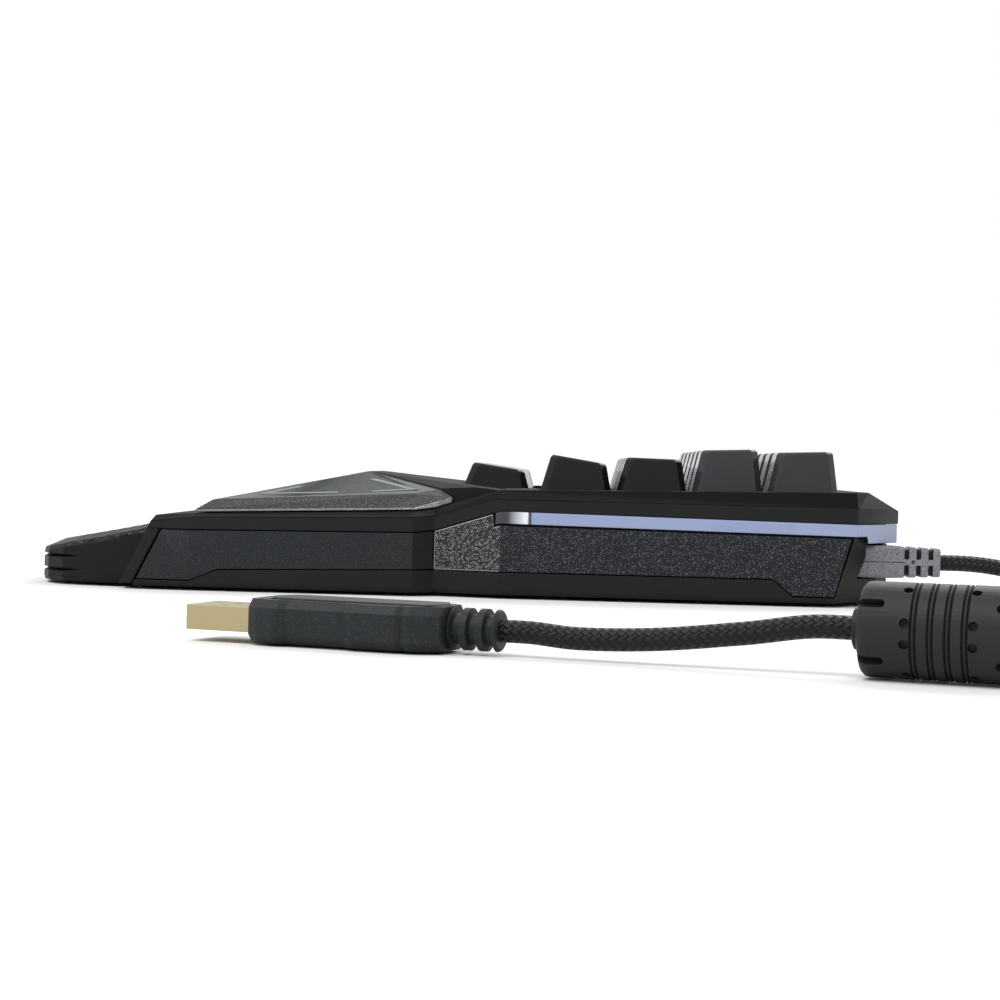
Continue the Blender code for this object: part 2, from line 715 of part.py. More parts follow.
def make_bottom_case():
    front = FRONT_X + FRONT_LEG + GAP
    rings = [case_ring(front, skirt_top(front), WALL_INSET, FRONT_LEAN_SHARE, FRONT_TOP)]
    for x in (*SKIRT_X[:2], WAIST_FRONT_X, WAIST_X, WAIST_REAR_X, *SKIRT_X[2:]):
        rings.append(case_ring(x, skirt_top(x), WALL_INSET))
    panel_end = PANEL_REAR_X + GAP
    lean = (PANEL_LEAN_SHARE, bar_bottom(PANEL_REAR_X))
    rings.append(case_ring(panel_end, skirt_top(panel_end), WALL_INSET, *lean))
    corner_step = panel_end + GAP
    rings.append(case_ring(corner_step, bar_bottom(corner_step) - GAP, WALL_INSET, *lean))
    rings.append(case_ring(CASE_REAR_X, bar_bottom(CASE_REAR_X) - GAP, WALL_INSET))
    case = loft("bottom_case", rings, SMOOTH_BLACK)

    def inner_ring(x, inset, front_end=False):
        half = case_half(x) - inset
        low, top = CASE_INSIDE, seam(x) + CASE_LAP + OVERRUN
        lean = FRONT_LEAN_SHARE if front_end else 0.0
        return mirrored([(x + lean * (z - FRONT_TOP), -half, z) for z in (low, top)])

    inset = WALL_INSET + CASE_WALL
    inner = [inner_ring(front + CASE_WALL, inset, True)]
    panel_foot = PANEL_REAR_X - PANEL_LEAN_SHARE * (bar_bottom(PANEL_REAR_X) - CASE_INSIDE)
    for x in (*SKIRT_X[:2], WAIST_FRONT_X, WAIST_X, WAIST_REAR_X, panel_foot):
        inner.append(inner_ring(x, inset))
    inner.append(inner_ring(CASE_REAR_X - CASE_WALL, inset))
    cut(case, loft("case_inside", inner))

    ribs = []
    rib_y = FIELD_HALF_WIDTH * STACK_RIB_SHARE
    for y in (-rib_y, 0.0, rib_y):
        low = (FIELD_FRONT_X + DECK_MARGIN, y - STACK_RIB / 2, CASE_INSIDE - CASE_FLOOR / 2)
        high = (FIELD_REAR_X - DECK_MARGIN, y + STACK_RIB / 2, BACK_PLATE_BOTTOM - GAP)
        ribs.append((low, high))
    x, y = BOARD_PLACE
    for side in (-1, 1):
        edge = x + side * (BOARD_LENGTH / 2 - STACK_RIB)
        low = (edge - STACK_RIB / 2, y - BOARD_WIDTH / 4, CASE_INSIDE - CASE_FLOOR / 2)
        high = (edge + STACK_RIB / 2, y + BOARD_WIDTH / 4, CASE_INSIDE + BOARD_STANDOFF)
        ribs.append((low, high))
    join(case, boxes("case_ribs", ribs))
    join(case, posts("case_bosses", SCREW_PLACES, SCREW_BOSS, CASE_INSIDE - CASE_FLOOR / 2, SCREW_SEAM))
    cut(case, posts("case_bores", SCREW_PLACES, SCREW_SHAFT + 2 * GAP, 0.0, SCREW_TOP))
    cut(case, posts("case_sockets", SCREW_PLACES, SCREW_HEAD + 2 * GAP, 0.0, SCREW_NECK + GAP))
    pockets = []
    for x0, x1, y0, y1 in foot_places(GAP):
        pockets.append(((x0, y0, 0.0), (x1, y1, FOOT_THICKNESS + GAP)))
    cut(case, boxes("foot_pockets", pockets))
    cut(case, boot_body("boot_hole", GAP))
    cut(case, boot_window())


def foot_places(spread):
    """Low and high x, then low and high y, of each foot, grown by spread."""
    near = HALF_WIDTH - FOOT_INSET + spread
    far = HALF_WIDTH - FOOT_INSET - FOOT_WIDTH - spread
    front = (PLATE_FRONT_X, PLATE_FRONT_X + FRONT_FOOT_LENGTH)
    rear = (REAR_X - REAR_FOOT_SETBACK - REAR_FOOT_LENGTH, REAR_X - REAR_FOOT_SETBACK)
    places = []
    for x0, x1 in (front, rear):
        places.append((x0 - spread, x1 + spread, -near, -far))
        places.append((x0 - spread, x1 + spread, far, near))
    return places


def make_feet():
    for word, (x0, x1, y0, y1) in zip(CORNER_WORDS, foot_places(0.0)):
        boxes(f"foot_{word}", [((x0, y0, 0.0), (x1, y1, FOOT_THICKNESS))], RUBBER)


def make_screws():
    for word, centre in zip(CORNER_WORDS, SCREW_PLACES):
        screw = posts(f"screw_{word}", [centre], SCREW_SHAFT, SCREW_NECK - GAP, SCREW_TOP, STEEL)
        join(screw, posts(f"screw_head_{word}", [centre], SCREW_HEAD, SCREW_LOW, SCREW_NECK))


# Side panels and light bars, each with its twin on the far side

def strip(name, side, stations, look):
    """A strip along the housing's side. A station gives x, low z, high z, a lean and its height."""
    rings = []
    for x, low, high, lean, pivot in stations:
        outer = -frame_half(x)
        inner = outer + PANEL_THICKNESS
        corners = ((outer, low), (outer, high), (inner, high), (inner, low))
        rings.append([(x + lean * (z - pivot), side * y, z) for y, z in corners])
    return loft(name, rings, look)


def panel_station(x, under_bar=False, lean=0.0, pivot=0.0):
    """The panel between the skirt and the frame, or between the skirt and the light bar."""
    high = bar_bottom(x) - 2 * GAP if under_bar else seam(x) - GAP
    return (x, skirt_top(x) + GAP, high, lean, pivot)


def make_side_panels():
    front = FRONT_X + FRONT_LEG + 2 * GAP
    for side, word in ((1, "right"), (-1, "left")):
        stations = [panel_station(front, False, FRONT_LEAN_SHARE, FRONT_TOP)]
        stations += [panel_station(x) for x in (*SKIRT_X[:2], WAIST_FRONT_X, WAIST_X - GAP / 2)]
        strip(f"side_panel_front_{word}", side, stations, TEXTURED_BLACK)
        stations = [panel_station(x) for x in (WAIST_X + GAP / 2, BAR_FRONT_X - GAP)]
        stations += [panel_station(x, True) for x in (BAR_FRONT_X, WAIST_REAR_X, *SKIRT_X[2:])]
        stations.append(panel_station(PANEL_REAR_X, True, PANEL_LEAN_SHARE, bar_bottom(PANEL_REAR_X)))
        strip(f"side_panel_rear_{word}", side, stations, TEXTURED_BLACK)


def make_light_bars():
    for side, word in ((1, "right"), (-1, "left")):
        places = (BAR_FRONT_X + GAP, WAIST_REAR_X, CORNER_X, BAR_STEP_X, BAR_STEP_X + GAP, REAR_X - GAP)
        stations = [(x, bar_bottom(x), seam(x) - GAP, 0.0, 0.0) for x in places]
        strip(f"light_bar_{word}", side, stations, BAR_LILAC)


# Lead

def octagon(half_y, half_z, edge):
    """A rectangle with cut corners, as pairs of y and z around zero."""
    near = [(-half_y, edge - half_z), (edge - half_y, -half_z)]
    low = near + [(-y, z) for y, z in reversed(near)]
    return low + [(y, -z) for y, z in reversed(low)]


def boot_body(name, spread, look=None, rise=None):
    """The boot's tapered body, from inside the case to the lead, grown by spread, or upwards by rise."""
    places = (
        (CASE_REAR_X - BOOT_INSIDE - spread, BOOT_BASE_WIDTH),
        (CASE_REAR_X, BOOT_BASE_WIDTH),
        (BOOT_END_X, BOOT_WIDTH),
    )
    rings = []
    for x, width in places:
        half = width / 2 + spread
        high = half if rise is None else width / 2 + rise
        rings.append([(x, BOOT_Y + y, BOOT_HEIGHT + z) for y, z in octagon(half, high, BOOT_EDGE)])
    return loft(name, rings, look)


def boot_window():
    """The opening in the case's rear corner that bares the boot's side, with a leaning front edge."""
    high = BOOT_BASE_WIDTH / 2 + GAP
    front = CASE_REAR_X - BOOT_WINDOW_RUN
    outline = [
        (front, BOOT_HEIGHT + high),
        (front - BOOT_WINDOW_LEAN, BOOT_HEIGHT - high),
        (CASE_REAR_X + OVERRUN, BOOT_HEIGHT - high),
        (CASE_REAR_X + OVERRUN, BOOT_HEIGHT + high),
    ]
    return loft("boot_window", [[(x, y, z) for x, z in outline] for y in (-HALF_WIDTH - OVERRUN, BOOT_Y)])


def make_boot():
    boot = boot_body("cable_boot", 0.0, BOOT_GREY)
    wide = BOOT_BASE_WIDTH
    slots = []
    for k in range(BOOT_SLOTS):
        x = BOOT_END_X - BOOT_SLOT_PITCH * (k + 1)
        for low, high in ((BOOT_WEB / 2, wide), (-wide, -BOOT_WEB / 2)):
            corner = (x, BOOT_Y - wide, BOOT_HEIGHT + low)
            slots.append((corner, (x + BOOT_SLOT, BOOT_Y + wide, BOOT_HEIGHT + high)))
    grooves = boxes("boot_slots", slots)
    cut(grooves, boot_body("boot_core", -BOOT_SLOT_DEPTH, rise=-BOOT_SLOT_RISE))
    cut(boot, grooves)


def smooth_route(points, step):
    """Points about step apart on a smooth curve through the route's points, straight at both ends."""
    route = [Vector(p) for p in points]
    dense = [route[0]]
    for k in range(len(route) - 1):
        one, two = route[k], route[k + 1]
        length = (two - one).length
        before = (two - route[max(k - 1, 0)]).normalized() * length
        after = (route[min(k + 2, len(route) - 1)] - one).normalized() * length
        if k == 0:
            before = two - one
        if k == 1:
            before = (one - route[0]).normalized() * length
        if k == len(route) - 3:
            after = (route[-1] - two).normalized() * length
        for part in range(1, ROUTE_PARTS + 1):
            t = part / ROUTE_PARTS
            start, turn = 2 * t**3 - 3 * t**2 + 1, t**3 - 2 * t**2 + t
            end, back = 3 * t**2 - 2 * t**3, t**3 - t**2
            if k in (0, len(route) - 2):
                dense.append(one.lerp(two, t))
            else:
                dense.append(one * start + before * turn + two * end + after * back)
    for point in dense:
        point.z = max(point.z, CORD_DIAMETER / 2)
    lengths = [0.0]
    for one, two in zip(dense, dense[1:]):
        lengths.append(lengths[-1] + (two - one).length)
    count = max(2, round(lengths[-1] / step))
    even = []
    k = 0
    for place in range(count + 1):
        wanted = lengths[-1] * place / count
        while k < len(dense) - 2 and lengths[k + 1] < wanted:
            k += 1
        share = (wanted - lengths[k]) / (lengths[k + 1] - lengths[k])
        even.append(dense[k].lerp(dense[k + 1], share))
    return even, lengths[-1]


def tube(name, points, look, resolution=2):
    curve = bpy.data.curves.new(name, "CURVE")
    curve.dimensions = "3D"
    curve.bevel_depth = CORD_DIAMETER / 2
    curve.bevel_resolution = resolution
    curve.use_fill_caps = True
    line = curve.splines.new("POLY")
    line.points.add(len(points) - 1)
    for place, point in zip(line.points, points):
        place.co = (*point, 1.0)
    curve.materials.append(look)
    made = bpy.data.objects.new(name, curve)
    parts.objects.link(made)
    return made


def cord(name, route):
    points, length = smooth_route(route, CORD_STEP * CORD_DIAMETER)
    tube(name, points, BRAID)
    return length


def coil_point(turn):
    """A place on the coil after so many turns: the radius runs in and out, and each reversal climbs."""
    per_layer = COIL_TURNS / COIL_LAYERS
    layer, within = divmod(turn / per_layer, 1.0)
    inward = within if layer % 2 == 0 else 1.0 - within
    radius = COIL_INNER_RADIUS + COIL_PITCH * per_layer * (1.0 - inward)
    climbed = 0.0
    for reversal in range(1, COIL_LAYERS):
        share = (turn - reversal * per_layer) / COIL_CLIMB_TURNS + 0.5
        climbed += (1.0 - math.cos(math.pi * min(max(share, 0.0), 1.0))) / 2
    angle = -2 * math.pi * turn
    x, y = COIL_CENTRE
    height = CORD_DIAMETER / 2 + COIL_PITCH * climbed
    return Vector((x + radius * math.cos(angle), y + radius * math.sin(angle), height))


def coil_gap(points):
    """The least gap between stretches of the coil that are more than a quarter of a loop apart."""
    least = LENGTH
    apart = LOOP_POINTS // 4
    for k, one in enumerate(points):
        for m in range(k + apart, len(points) - 1):
            base, run = points[m], points[m + 1] - points[m]
            share = min(max((one - base).dot(run) / run.length_squared, 0.0), 1.0)
            least = min(least, (one - base - run * share).length)
    return least - CORD_DIAMETER


def run_out(place, distance, offset=(0.0, 0.0, 0.0)):
    """A point further along the plug's heading, from a point on its line."""
    return Vector(place) + HEADING * distance + Vector(offset)


def make_lead():
    """The lead, the coil, the tail to the bead, and the end between the bead and the plug."""
    coil = [coil_point(k / LOOP_POINTS) for k in range(round(COIL_TURNS * LOOP_POINTS) + 1)]
    tube("cable_coil", coil, BRAID, 1)
    coil_length = sum((two - one).length for one, two in zip(coil, coil[1:]))
    print(f"coil: {coil_gap(coil) * 1000:.2f} mm to itself, {coil_length * 1000:.0f} mm long")

    start = Vector((BOOT_END_X + GAP, BOOT_Y, BOOT_HEIGHT))
    coil_start = coil[0] + Vector((0.0, GAP, 0.0))
    lead = [start, start + Vector((CORD_DIAMETER, 0.0, 0.0)), *LEAD_ROUTE]
    lead += [coil_start + Vector((0.0, CORD_DIAMETER, 0.0)), coil_start]
    leaving = (coil[-1] - coil[-2]).normalized()
    leaving.z = 0.0
    tail_start = coil[-1] + leaving * GAP
    tail_end = run_out(BEAD_AXIS_PLACE, -BEAD_HALF - GAP)
    tail = [tail_start, tail_start + leaving * CORD_DIAMETER, *TAIL_ROUTE]
    tail += [tail_end - HEADING * CORD_DIAMETER, tail_end]
    end_start = run_out(BEAD_AXIS_PLACE, BEAD_HALF + GAP)
    end_stop = PLUG_BACK - HEADING * GAP
    end = [end_start, end_start + HEADING * CORD_DIAMETER]
    for share, height in END_HEIGHTS:
        point = end_start.lerp(end_stop, share)
        end.append(Vector((point.x, point.y, height)))
    end += [end_stop - HEADING * CORD_DIAMETER, end_stop]
    total = coil_length + cord("cable_lead", lead) + cord("cable_tail", tail) + cord("cable_end", end)
    print(f"lead in all: {total * 1000:.0f} mm of cord")


def make_bead():
    body = BEAD_LENGTH / 2
    collar, shoulder = BEAD_COLLAR_DIAMETER, BEAD_DIAMETER - 2 * BEAD_BEVEL
    steps = [(-BEAD_HALF, collar), (-body, collar), (-body, shoulder), (BEAD_BEVEL - body, BEAD_DIAMETER)]
    for k in range(BEAD_RINGS):
        middle = (k - (BEAD_RINGS - 1) / 2) * BEAD_RING_PITCH
        low, high = middle - BEAD_RING_WIDTH / 2, middle + BEAD_RING_WIDTH / 2
        waist = BEAD_DIAMETER - 2 * BEAD_RING_DEPTH
        steps += [(low, BEAD_DIAMETER), (low, waist), (high, waist), (high, BEAD_DIAMETER)]
    steps += [(body - BEAD_BEVEL, BEAD_DIAMETER), (body, shoulder), (body, collar), (BEAD_HALF, collar)]
    reach = 1 / math.cos(math.pi / BEAD_SIDES) / 2
    rings = []
    for run, width in steps:
        ring = []
        for k in range(BEAD_SIDES):
            angle = 2 * math.pi * (k + 0.5) / BEAD_SIDES
            side, up = width * reach * math.cos(angle), width * reach * math.sin(angle)
            ring.append(run_out(BEAD_AXIS_PLACE, run, ACROSS * side + Vector((0.0, 0.0, up))))
        rings.append(ring)
    loft("ferrite_bead", rings, RUBBER)


def plug_ring(run, half_width, half_height, edge):
    """A section of the plug at a distance along its heading from the middle of its front."""
    ring = []
    for across, up in octagon(half_width, half_height, edge):
        ring.append(PLUG_FRONT - HEADING * run + ACROSS * across + Vector((0.0, 0.0, up)))
    return ring


def plug_box(name, low, high, look=None):
    """A box in the plug's own directions: backwards from its front, across and up."""
    points = []
    for run in (low[0], high[0]):
        for across in (low[1], high[1]):
            for up in (low[2], high[2]):
                points.append(PLUG_FRONT - HEADING * run + ACROSS * across + Vector((0.0, 0.0, up)))
    return hull(name, points, look)


def make_plug():
    half = PLUG_THICKNESS / 2
    rings = []
    for share, width_share in PLUG_WIDTH_SHARES:
        rings.append(plug_ring(PLUG_LENGTH * share, PLUG_WIDTH * width_share / 2, half, PLUG_EDGE))
    relief = RELIEF_WIDTH / 2
    edge = RELIEF_WIDTH / 4
    rings.append(plug_ring(PLUG_LENGTH, relief, relief, edge))
    pitch = RELIEF_LENGTH / RELIEF_RIBS
    neck = relief - RELIEF_DEPTH
    for k in range(RELIEF_RIBS):
        middle = PLUG_LENGTH + pitch * (k + 0.5)
        for run, width in (
            (middle - RELIEF_GROOVE, relief),
            (middle - RELIEF_GROOVE / 2, neck),
            (middle + RELIEF_GROOVE / 2, neck),
            (middle + RELIEF_GROOVE, relief),
        ):
            rings.append(plug_ring(run, width, width, edge * width / relief))
    rings.append(plug_ring(PLUG_LENGTH + RELIEF_LENGTH, relief, relief, edge))
    plug = loft("plug_body", rings, SMOOTH_BLACK)
    wide, thick = SHELL_WIDTH / 2, SHELL_THICKNESS / 2
    seat = (SHELL_SEAT + GAP, wide + GAP, thick + GAP)
    cut(plug, plug_box("plug_seat", (-GAP, -seat[1], -seat[2]), seat))
    shell = plug_box("usb_shell", (-SHELL_LENGTH, -wide, -thick), (SHELL_SEAT, wide, thick), GOLD)
    inner_wide, inner_thick = wide - SHELL_WALL, thick - SHELL_WALL
    low = (-SHELL_LENGTH - OVERRUN, -inner_wide, -inner_thick)
    cut(shell, plug_box("shell_inside", low, (SHELL_SEAT + OVERRUN, inner_wide, inner_thick)))
    for word, side in (("right", -1), ("left", 1)):
        middle = side * SHELL_WINDOW_OFFSET
        run = SHELL_WINDOW_RUN - SHELL_LENGTH
        low = (run - SHELL_WINDOW / 2, middle - SHELL_WINDOW / 2, -SHELL_THICKNESS)
        high = (run + SHELL_WINDOW / 2, middle + SHELL_WINDOW / 2, SHELL_THICKNESS)
        cut(shell, plug_box(f"shell_window_{word}", low, high))
    low = (TONGUE_RECESS - SHELL_LENGTH, GAP - inner_wide, GAP - inner_thick)
    high = (SHELL_SEAT, inner_wide - GAP, GAP - inner_thick + TONGUE_THICKNESS)
    plug_box("usb_tongue", low, high, TONGUE_WHITE)


# Wrist rest

def wrist_top(x):
    share = (x - NOSE_X) / WRIST_LENGTH
    return WRIST_NOSE_HEIGHT + (WRIST_REAR_HEIGHT - WRIST_NOSE_HEIGHT) * share


def wrist_ring(x, half):
    """A section of the wrist rest: cut corners, and a top that rises to a flat crown."""
    top = wrist_top(x)
    middle, tall = (top + WRIST_BOTTOM) / 2, (top - WRIST_BOTTOM) / 2
    section = octagon(half, tall, WRIST_EDGE)
    crown = [(side * half * WRIST_CROWN_SHARE, tall + WRIST_CROWN) for side in (1, -1)]
    return [(x, y, middle + z) for y, z in section[:6] + crown + section[6:]]


def make_wrist_rest():
    rings = []
    plan = []
    for share, width_share in WRIST_WIDTH_SHARES:
        x, half = NOSE_X + WRIST_LENGTH * share, WRIST_HALF_WIDTH * width_share
        plan.append((x, half))
        ring = wrist_ring(x, half)
        if share == 1.0:
            ring = [(front_x(z) - GAP, y, z) for _, y, z in ring]
        rings.append(ring)
    rest = loft("wrist_rest", rings, SMOOTH_BLACK)

    end_x = NOSE_X + GROOVE_RUN
    side = [row for row in plan if row[0] < end_x] + [(end_x, along(plan, end_x))]
    outline = [Vector((x, -half, 0.0)) for x, half in reversed(side)]
    outline += [Vector((x, half, 0.0)) for x, half in side]
    flare = (GROOVE_DEPTH + OVERRUN) / GROOVE_DEPTH * GROOVE_WIDTH / 2
    for k, share in enumerate(GROOVE_HEIGHT_SHARES):
        height = WRIST_BOTTOM + (WRIST_NOSE_HEIGHT - WRIST_BOTTOM) * share
        sections = []
        for m, point in enumerate(outline):
            before = (point - outline[m - 1]).normalized() if m > 0 else Vector()
            after = (outline[m + 1] - point).normalized() if m < len(outline) - 1 else Vector()
            heading = (before + after).normalized()
            outward = Vector((-heading.y, heading.x, 0.0))
            fades = m in (0, len(outline) - 1)
            beside = point + heading * (GAP / 2)
            inner = beside + outward * (GAP if fades else -GROOVE_DEPTH)
            outer = beside + outward * OVERRUN
            section = [(outer.x, outer.y, height - flare), (outer.x, outer.y, height + flare)]
            sections.append(section + [(inner.x, inner.y, height)])
        cut(rest, loft(f"wrist_groove_{k}", sections))

    for k in range(RIB_COUNT):
        x = front_x(WRIST_REAR_HEIGHT) - RIB_SETBACK - RIB_PITCH * k
        half = along(plan, x)
        low = wrist_top(x) - RIB_DEPTH
        right = [(-HALF_WIDTH, low), (WRIST_EDGE - half, low), (-half * WRIST_CROWN_SHARE, low + WRIST_CROWN)]
        section = [(-HALF_WIDTH, FRAME_HEIGHT)] + right
        section += [(-y, z) for y, z in reversed(section)]
        places = (x - RIB_WIDTH / 2, x + RIB_WIDTH / 2)
        cut(rest, loft(f"wrist_rib_{k}", [[(place, y, z) for y, z in section] for place in places]))


# Key field

def key_places():
    """Name, centre and number of columns of every key."""
    places = []
    for row, keys in enumerate(ROW_KEYS):
        lead = 0.0 if row else FIRST_ROW_LEAD
        x = FIELD_FRONT_X + KEY_PITCH * (row + 0.5) - lead
        for number, (first, last) in enumerate(keys):
            y = KEY_PITCH * ((first + last + 1) / 2) - FIELD_HALF_WIDTH
            places.append((f"keycap_{row + 1}_{number + 1}", row, x, y, last - first + 1))
    return places


def make_key_stack():
    centres = [(x, y) for _, _, x, y, _ in key_places()]
    inner, foot = DECK_MARGIN - DECK_WALL, BACK_PLATE_TOP + 2 * GAP
    shell = [(inner, DECK_BOTTOM), (inner, foot), (DECK_MARGIN, foot), (DECK_MARGIN, DECK_TOP)]
    deck = loft("key_deck", [field_outline(*place) for place in shell], SMOOTH_BLACK)
    hole = STEM_WIDTH + 2 * GAP
    chimney_top = DECK_TOP + CHIMNEY_HEIGHT
    join(deck, posts("chimneys", centres, hole + 2 * CHIMNEY_WALL, DECK_TOP - GAP, chimney_top, sides=4))
    cut(deck, posts("stem_holes", centres, hole, DECK_BOTTOM - OVERRUN, chimney_top + OVERRUN, sides=4))

    sheet_top = SHEET_BOTTOM + SHEET_THICKNESS
    sheet = field_prism("dome_sheet", 0.0, SHEET_BOTTOM, sheet_top, SILICONE)
    domes, hollows = bmesh.new(), bmesh.new()
    for centre in centres:
        post_into(domes, centre, DOME_WIDTH, DOME_CROWN, sheet_top - GAP, DOME_TOP)
        inside = (DOME_WIDTH - 2 * DOME_WALL, DOME_CROWN - 2 * DOME_WALL)
        post_into(hollows, centre, *inside, SHEET_BOTTOM - GAP, DOME_TOP - DOME_WALL)
    join(sheet, from_bmesh("domes", domes))
    cut(sheet, from_bmesh("dome_hollows", hollows))
    field_prism("membrane_circuit", 0.0, MEMBRANE_BOTTOM, MEMBRANE_BOTTOM + MEMBRANE_THICKNESS, FILM)
    field_prism("back_plate", DECK_MARGIN, BACK_PLATE_BOTTOM, BACK_PLATE_TOP, STEEL)

    x, y = BOARD_PLACE
    low = (x - BOARD_LENGTH / 2, y - BOARD_WIDTH / 2, BOARD_BOTTOM)
    high = (x + BOARD_LENGTH / 2, y + BOARD_WIDTH / 2, BOARD_BOTTOM + BOARD_THICKNESS)
    board = boxes("controller_board", [(low, high)], BOARD_GREEN)
    half = CHIP_WIDTH / 2
    low = (x - half, y - half, BOARD_BOTTOM + BOARD_THICKNESS / 2)
    high = (x + half, y + half, BOARD_BOTTOM + BOARD_THICKNESS + CHIP_HEIGHT)
    join(board, boxes("board_chip", [(low, high)]))


def cap_ring(half_x, half_y, corner, heights, front=0.0, rear=0.0, side_share=0.0):
    """A keycap's section between a front and a rear height. Its sides lean in by a share of z."""
    low_x, high_x = front - half_x, half_x - rear
    at_front, at_rear = heights
    slope = (at_rear - at_front) / (high_x - low_x)
    near = []
    for x, inset in ((low_x, corner), (low_x + corner, 0.0), (high_x - corner, 0.0), (high_x, corner)):
        z = at_front + slope * (x - low_x)
        near.append((x, inset + side_share * z - half_y, z))
    return mirrored(near)


def make_keycaps():
    for name, row, x, y, columns in key_places():
        front_top, rear_top = (CAP_HEIGHT * share for share in CAP_HEIGHT_SHARES[row])
        half_x = CAP_WIDTH / 2
        half_y = half_x + (columns - 1) * KEY_PITCH / 2
        leans = (CAP_FRONT_LEAN, CAP_REAR_LEAN, CAP_SIDE_LEAN / CAP_HEIGHT)
        tops = (front_top, rear_top)
        shoulders = [top - CAP_TOP_BEVEL for top in tops]
        ceilings = [top - CAP_ROOF for top in tops]
        bevelled = (leans[0] + CAP_TOP_BEVEL, leans[1] + CAP_TOP_BEVEL, leans[2])
        stem = STEM_WIDTH / 2
        inner = CAP_CORNER - CAP_WALL / 2
        slope = (ceilings[1] - ceilings[0]) / (CAP_WIDTH - leans[0] - leans[1] - 2 * CAP_WALL)
        middle = ceilings[0] + slope * (half_x - leans[0] - CAP_WALL)
        stem_top = (middle - slope * stem, middle + slope * stem)
        sunk = (STEM_BOTTOM - CAP_BASE, STEM_BOTTOM - CAP_BASE)
        low = (0.0, 0.0)
        wall = CAP_WALL
        rings = [
            cap_ring(stem, stem, STEM_CORNER, sunk),
            cap_ring(stem, stem, STEM_CORNER, stem_top),
            cap_ring(half_x - wall, half_y - wall, inner, ceilings, *leans),
            cap_ring(half_x - wall, half_y - wall, inner, low),
            cap_ring(half_x, half_y, CAP_CORNER, low),
            cap_ring(half_x, half_y, CAP_CORNER, shoulders, *leans),
            cap_ring(half_x, half_y - CAP_TOP_BEVEL, CAP_CORNER - CAP_TOP_BEVEL / 2, tops, *bevelled),
        ]
        cap = loft(name, rings, KEY_BLACK)
        cap.location = (x, y, CAP_BASE)


make_palm_plate()
make_top_frame()
make_bottom_case()
make_feet()
make_screws()
make_side_panels()
make_light_bars()
make_wrist_rest()
make_key_stack()
make_keycaps()
make_boot()
make_lead()
make_bead()
make_plug()
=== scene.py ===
"""A one-handed gaming keypad on a pale table, seen from the user's right, with its plug in front."""

import json
import math

import bmesh
import bpy
from mathutils import Matrix, Vector

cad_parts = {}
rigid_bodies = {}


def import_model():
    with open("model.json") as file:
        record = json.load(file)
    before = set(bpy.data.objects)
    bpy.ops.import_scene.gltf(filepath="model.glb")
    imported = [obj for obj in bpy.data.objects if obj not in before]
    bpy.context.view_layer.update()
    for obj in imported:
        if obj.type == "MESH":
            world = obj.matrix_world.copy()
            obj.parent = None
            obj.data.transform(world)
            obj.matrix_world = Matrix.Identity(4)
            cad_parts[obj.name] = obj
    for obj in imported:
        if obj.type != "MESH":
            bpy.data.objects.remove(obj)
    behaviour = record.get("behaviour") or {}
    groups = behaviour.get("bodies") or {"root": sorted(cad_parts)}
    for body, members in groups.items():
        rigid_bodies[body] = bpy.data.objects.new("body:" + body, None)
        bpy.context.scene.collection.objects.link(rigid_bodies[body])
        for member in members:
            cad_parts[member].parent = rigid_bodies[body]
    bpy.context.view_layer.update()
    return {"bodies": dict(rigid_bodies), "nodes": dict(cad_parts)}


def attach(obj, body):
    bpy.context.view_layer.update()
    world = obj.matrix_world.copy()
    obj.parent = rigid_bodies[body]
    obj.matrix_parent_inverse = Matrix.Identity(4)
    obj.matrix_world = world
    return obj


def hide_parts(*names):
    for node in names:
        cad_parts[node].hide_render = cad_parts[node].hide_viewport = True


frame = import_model()

# Camera
# A long lens just above the table looks straight at the housing's near side.
# The picture hangs a little to the right, as it does when a tripod isn't quite level.

CAMERA_PLACE = (0.028, -0.588, 0.033)
CAMERA_YAW, CAMERA_PITCH, CAMERA_ROLL = 2.04, 0.955, 1.42


def placed(name, data):
    """A new object in the scene."""
    made = bpy.data.objects.new(name, data)
    bpy.context.scene.collection.objects.link(made)
    return made


camera_data = bpy.data.cameras.new("side_camera")
camera_data.lens = 75.8
camera_data.sensor_width = 36.0
camera_data.clip_start = 0.01
side_camera = placed("side_camera", camera_data)
yaw = Matrix.Rotation(math.radians(CAMERA_YAW), 4, "Z")
pitch = Matrix.Rotation(math.radians(90 - CAMERA_PITCH), 4, "X")
roll = Matrix.Rotation(math.radians(CAMERA_ROLL), 4, "Z")
side_camera.matrix_world = Matrix.Translation(CAMERA_PLACE) @ yaw @ pitch @ roll
bpy.context.scene.camera = side_camera

# Braided lead
# A round cord of black yarn over two wires, 4 mm thick and 1.8 m long.
# It leaves the boot, drops to the table, lies wound in a coil, and runs on through the bead to the plug.

CORD_DIAMETER = 0.004
CORD_SIDES = 16
BRAID_STRANDS = 10.0
BRAID_PITCH = 0.0016
ROUTE_STEP = 0.0018
STRAIGHT_RUN = 0.0043
COIL_X, COIL_Y = 0.148, -0.168
COIL_TURNS = 10.125
COIL_LAYERS = 4
COIL_INNER_RADIUS = 0.0175
COIL_SPACING = 0.0045
COIL_CLIMB_TURNS = 0.5
POINTS_PER_TURN = 72
PLUG_TURN = math.radians(19)
PLUG_LENGTH = 0.0458
PLUG_MIDDLE_HEIGHT = 0.0042
BEAD_RADIUS = 0.00785
BEAD_HALF_LENGTH = 0.01475
BEAD_TO_PLUG = 0.0615
PLUG_GAP = 0.0003

heading = Vector((-math.cos(PLUG_TURN), math.sin(PLUG_TURN), 0.0))
across = Vector((-heading.y, heading.x, 0.0))
bead_centre = Vector((0.088, -0.248, BEAD_RADIUS))
plug_back = bead_centre + heading * (BEAD_HALF_LENGTH + BEAD_TO_PLUG)
plug_back.z = PLUG_MIDDLE_HEIGHT
plug_front = plug_back + heading * PLUG_LENGTH


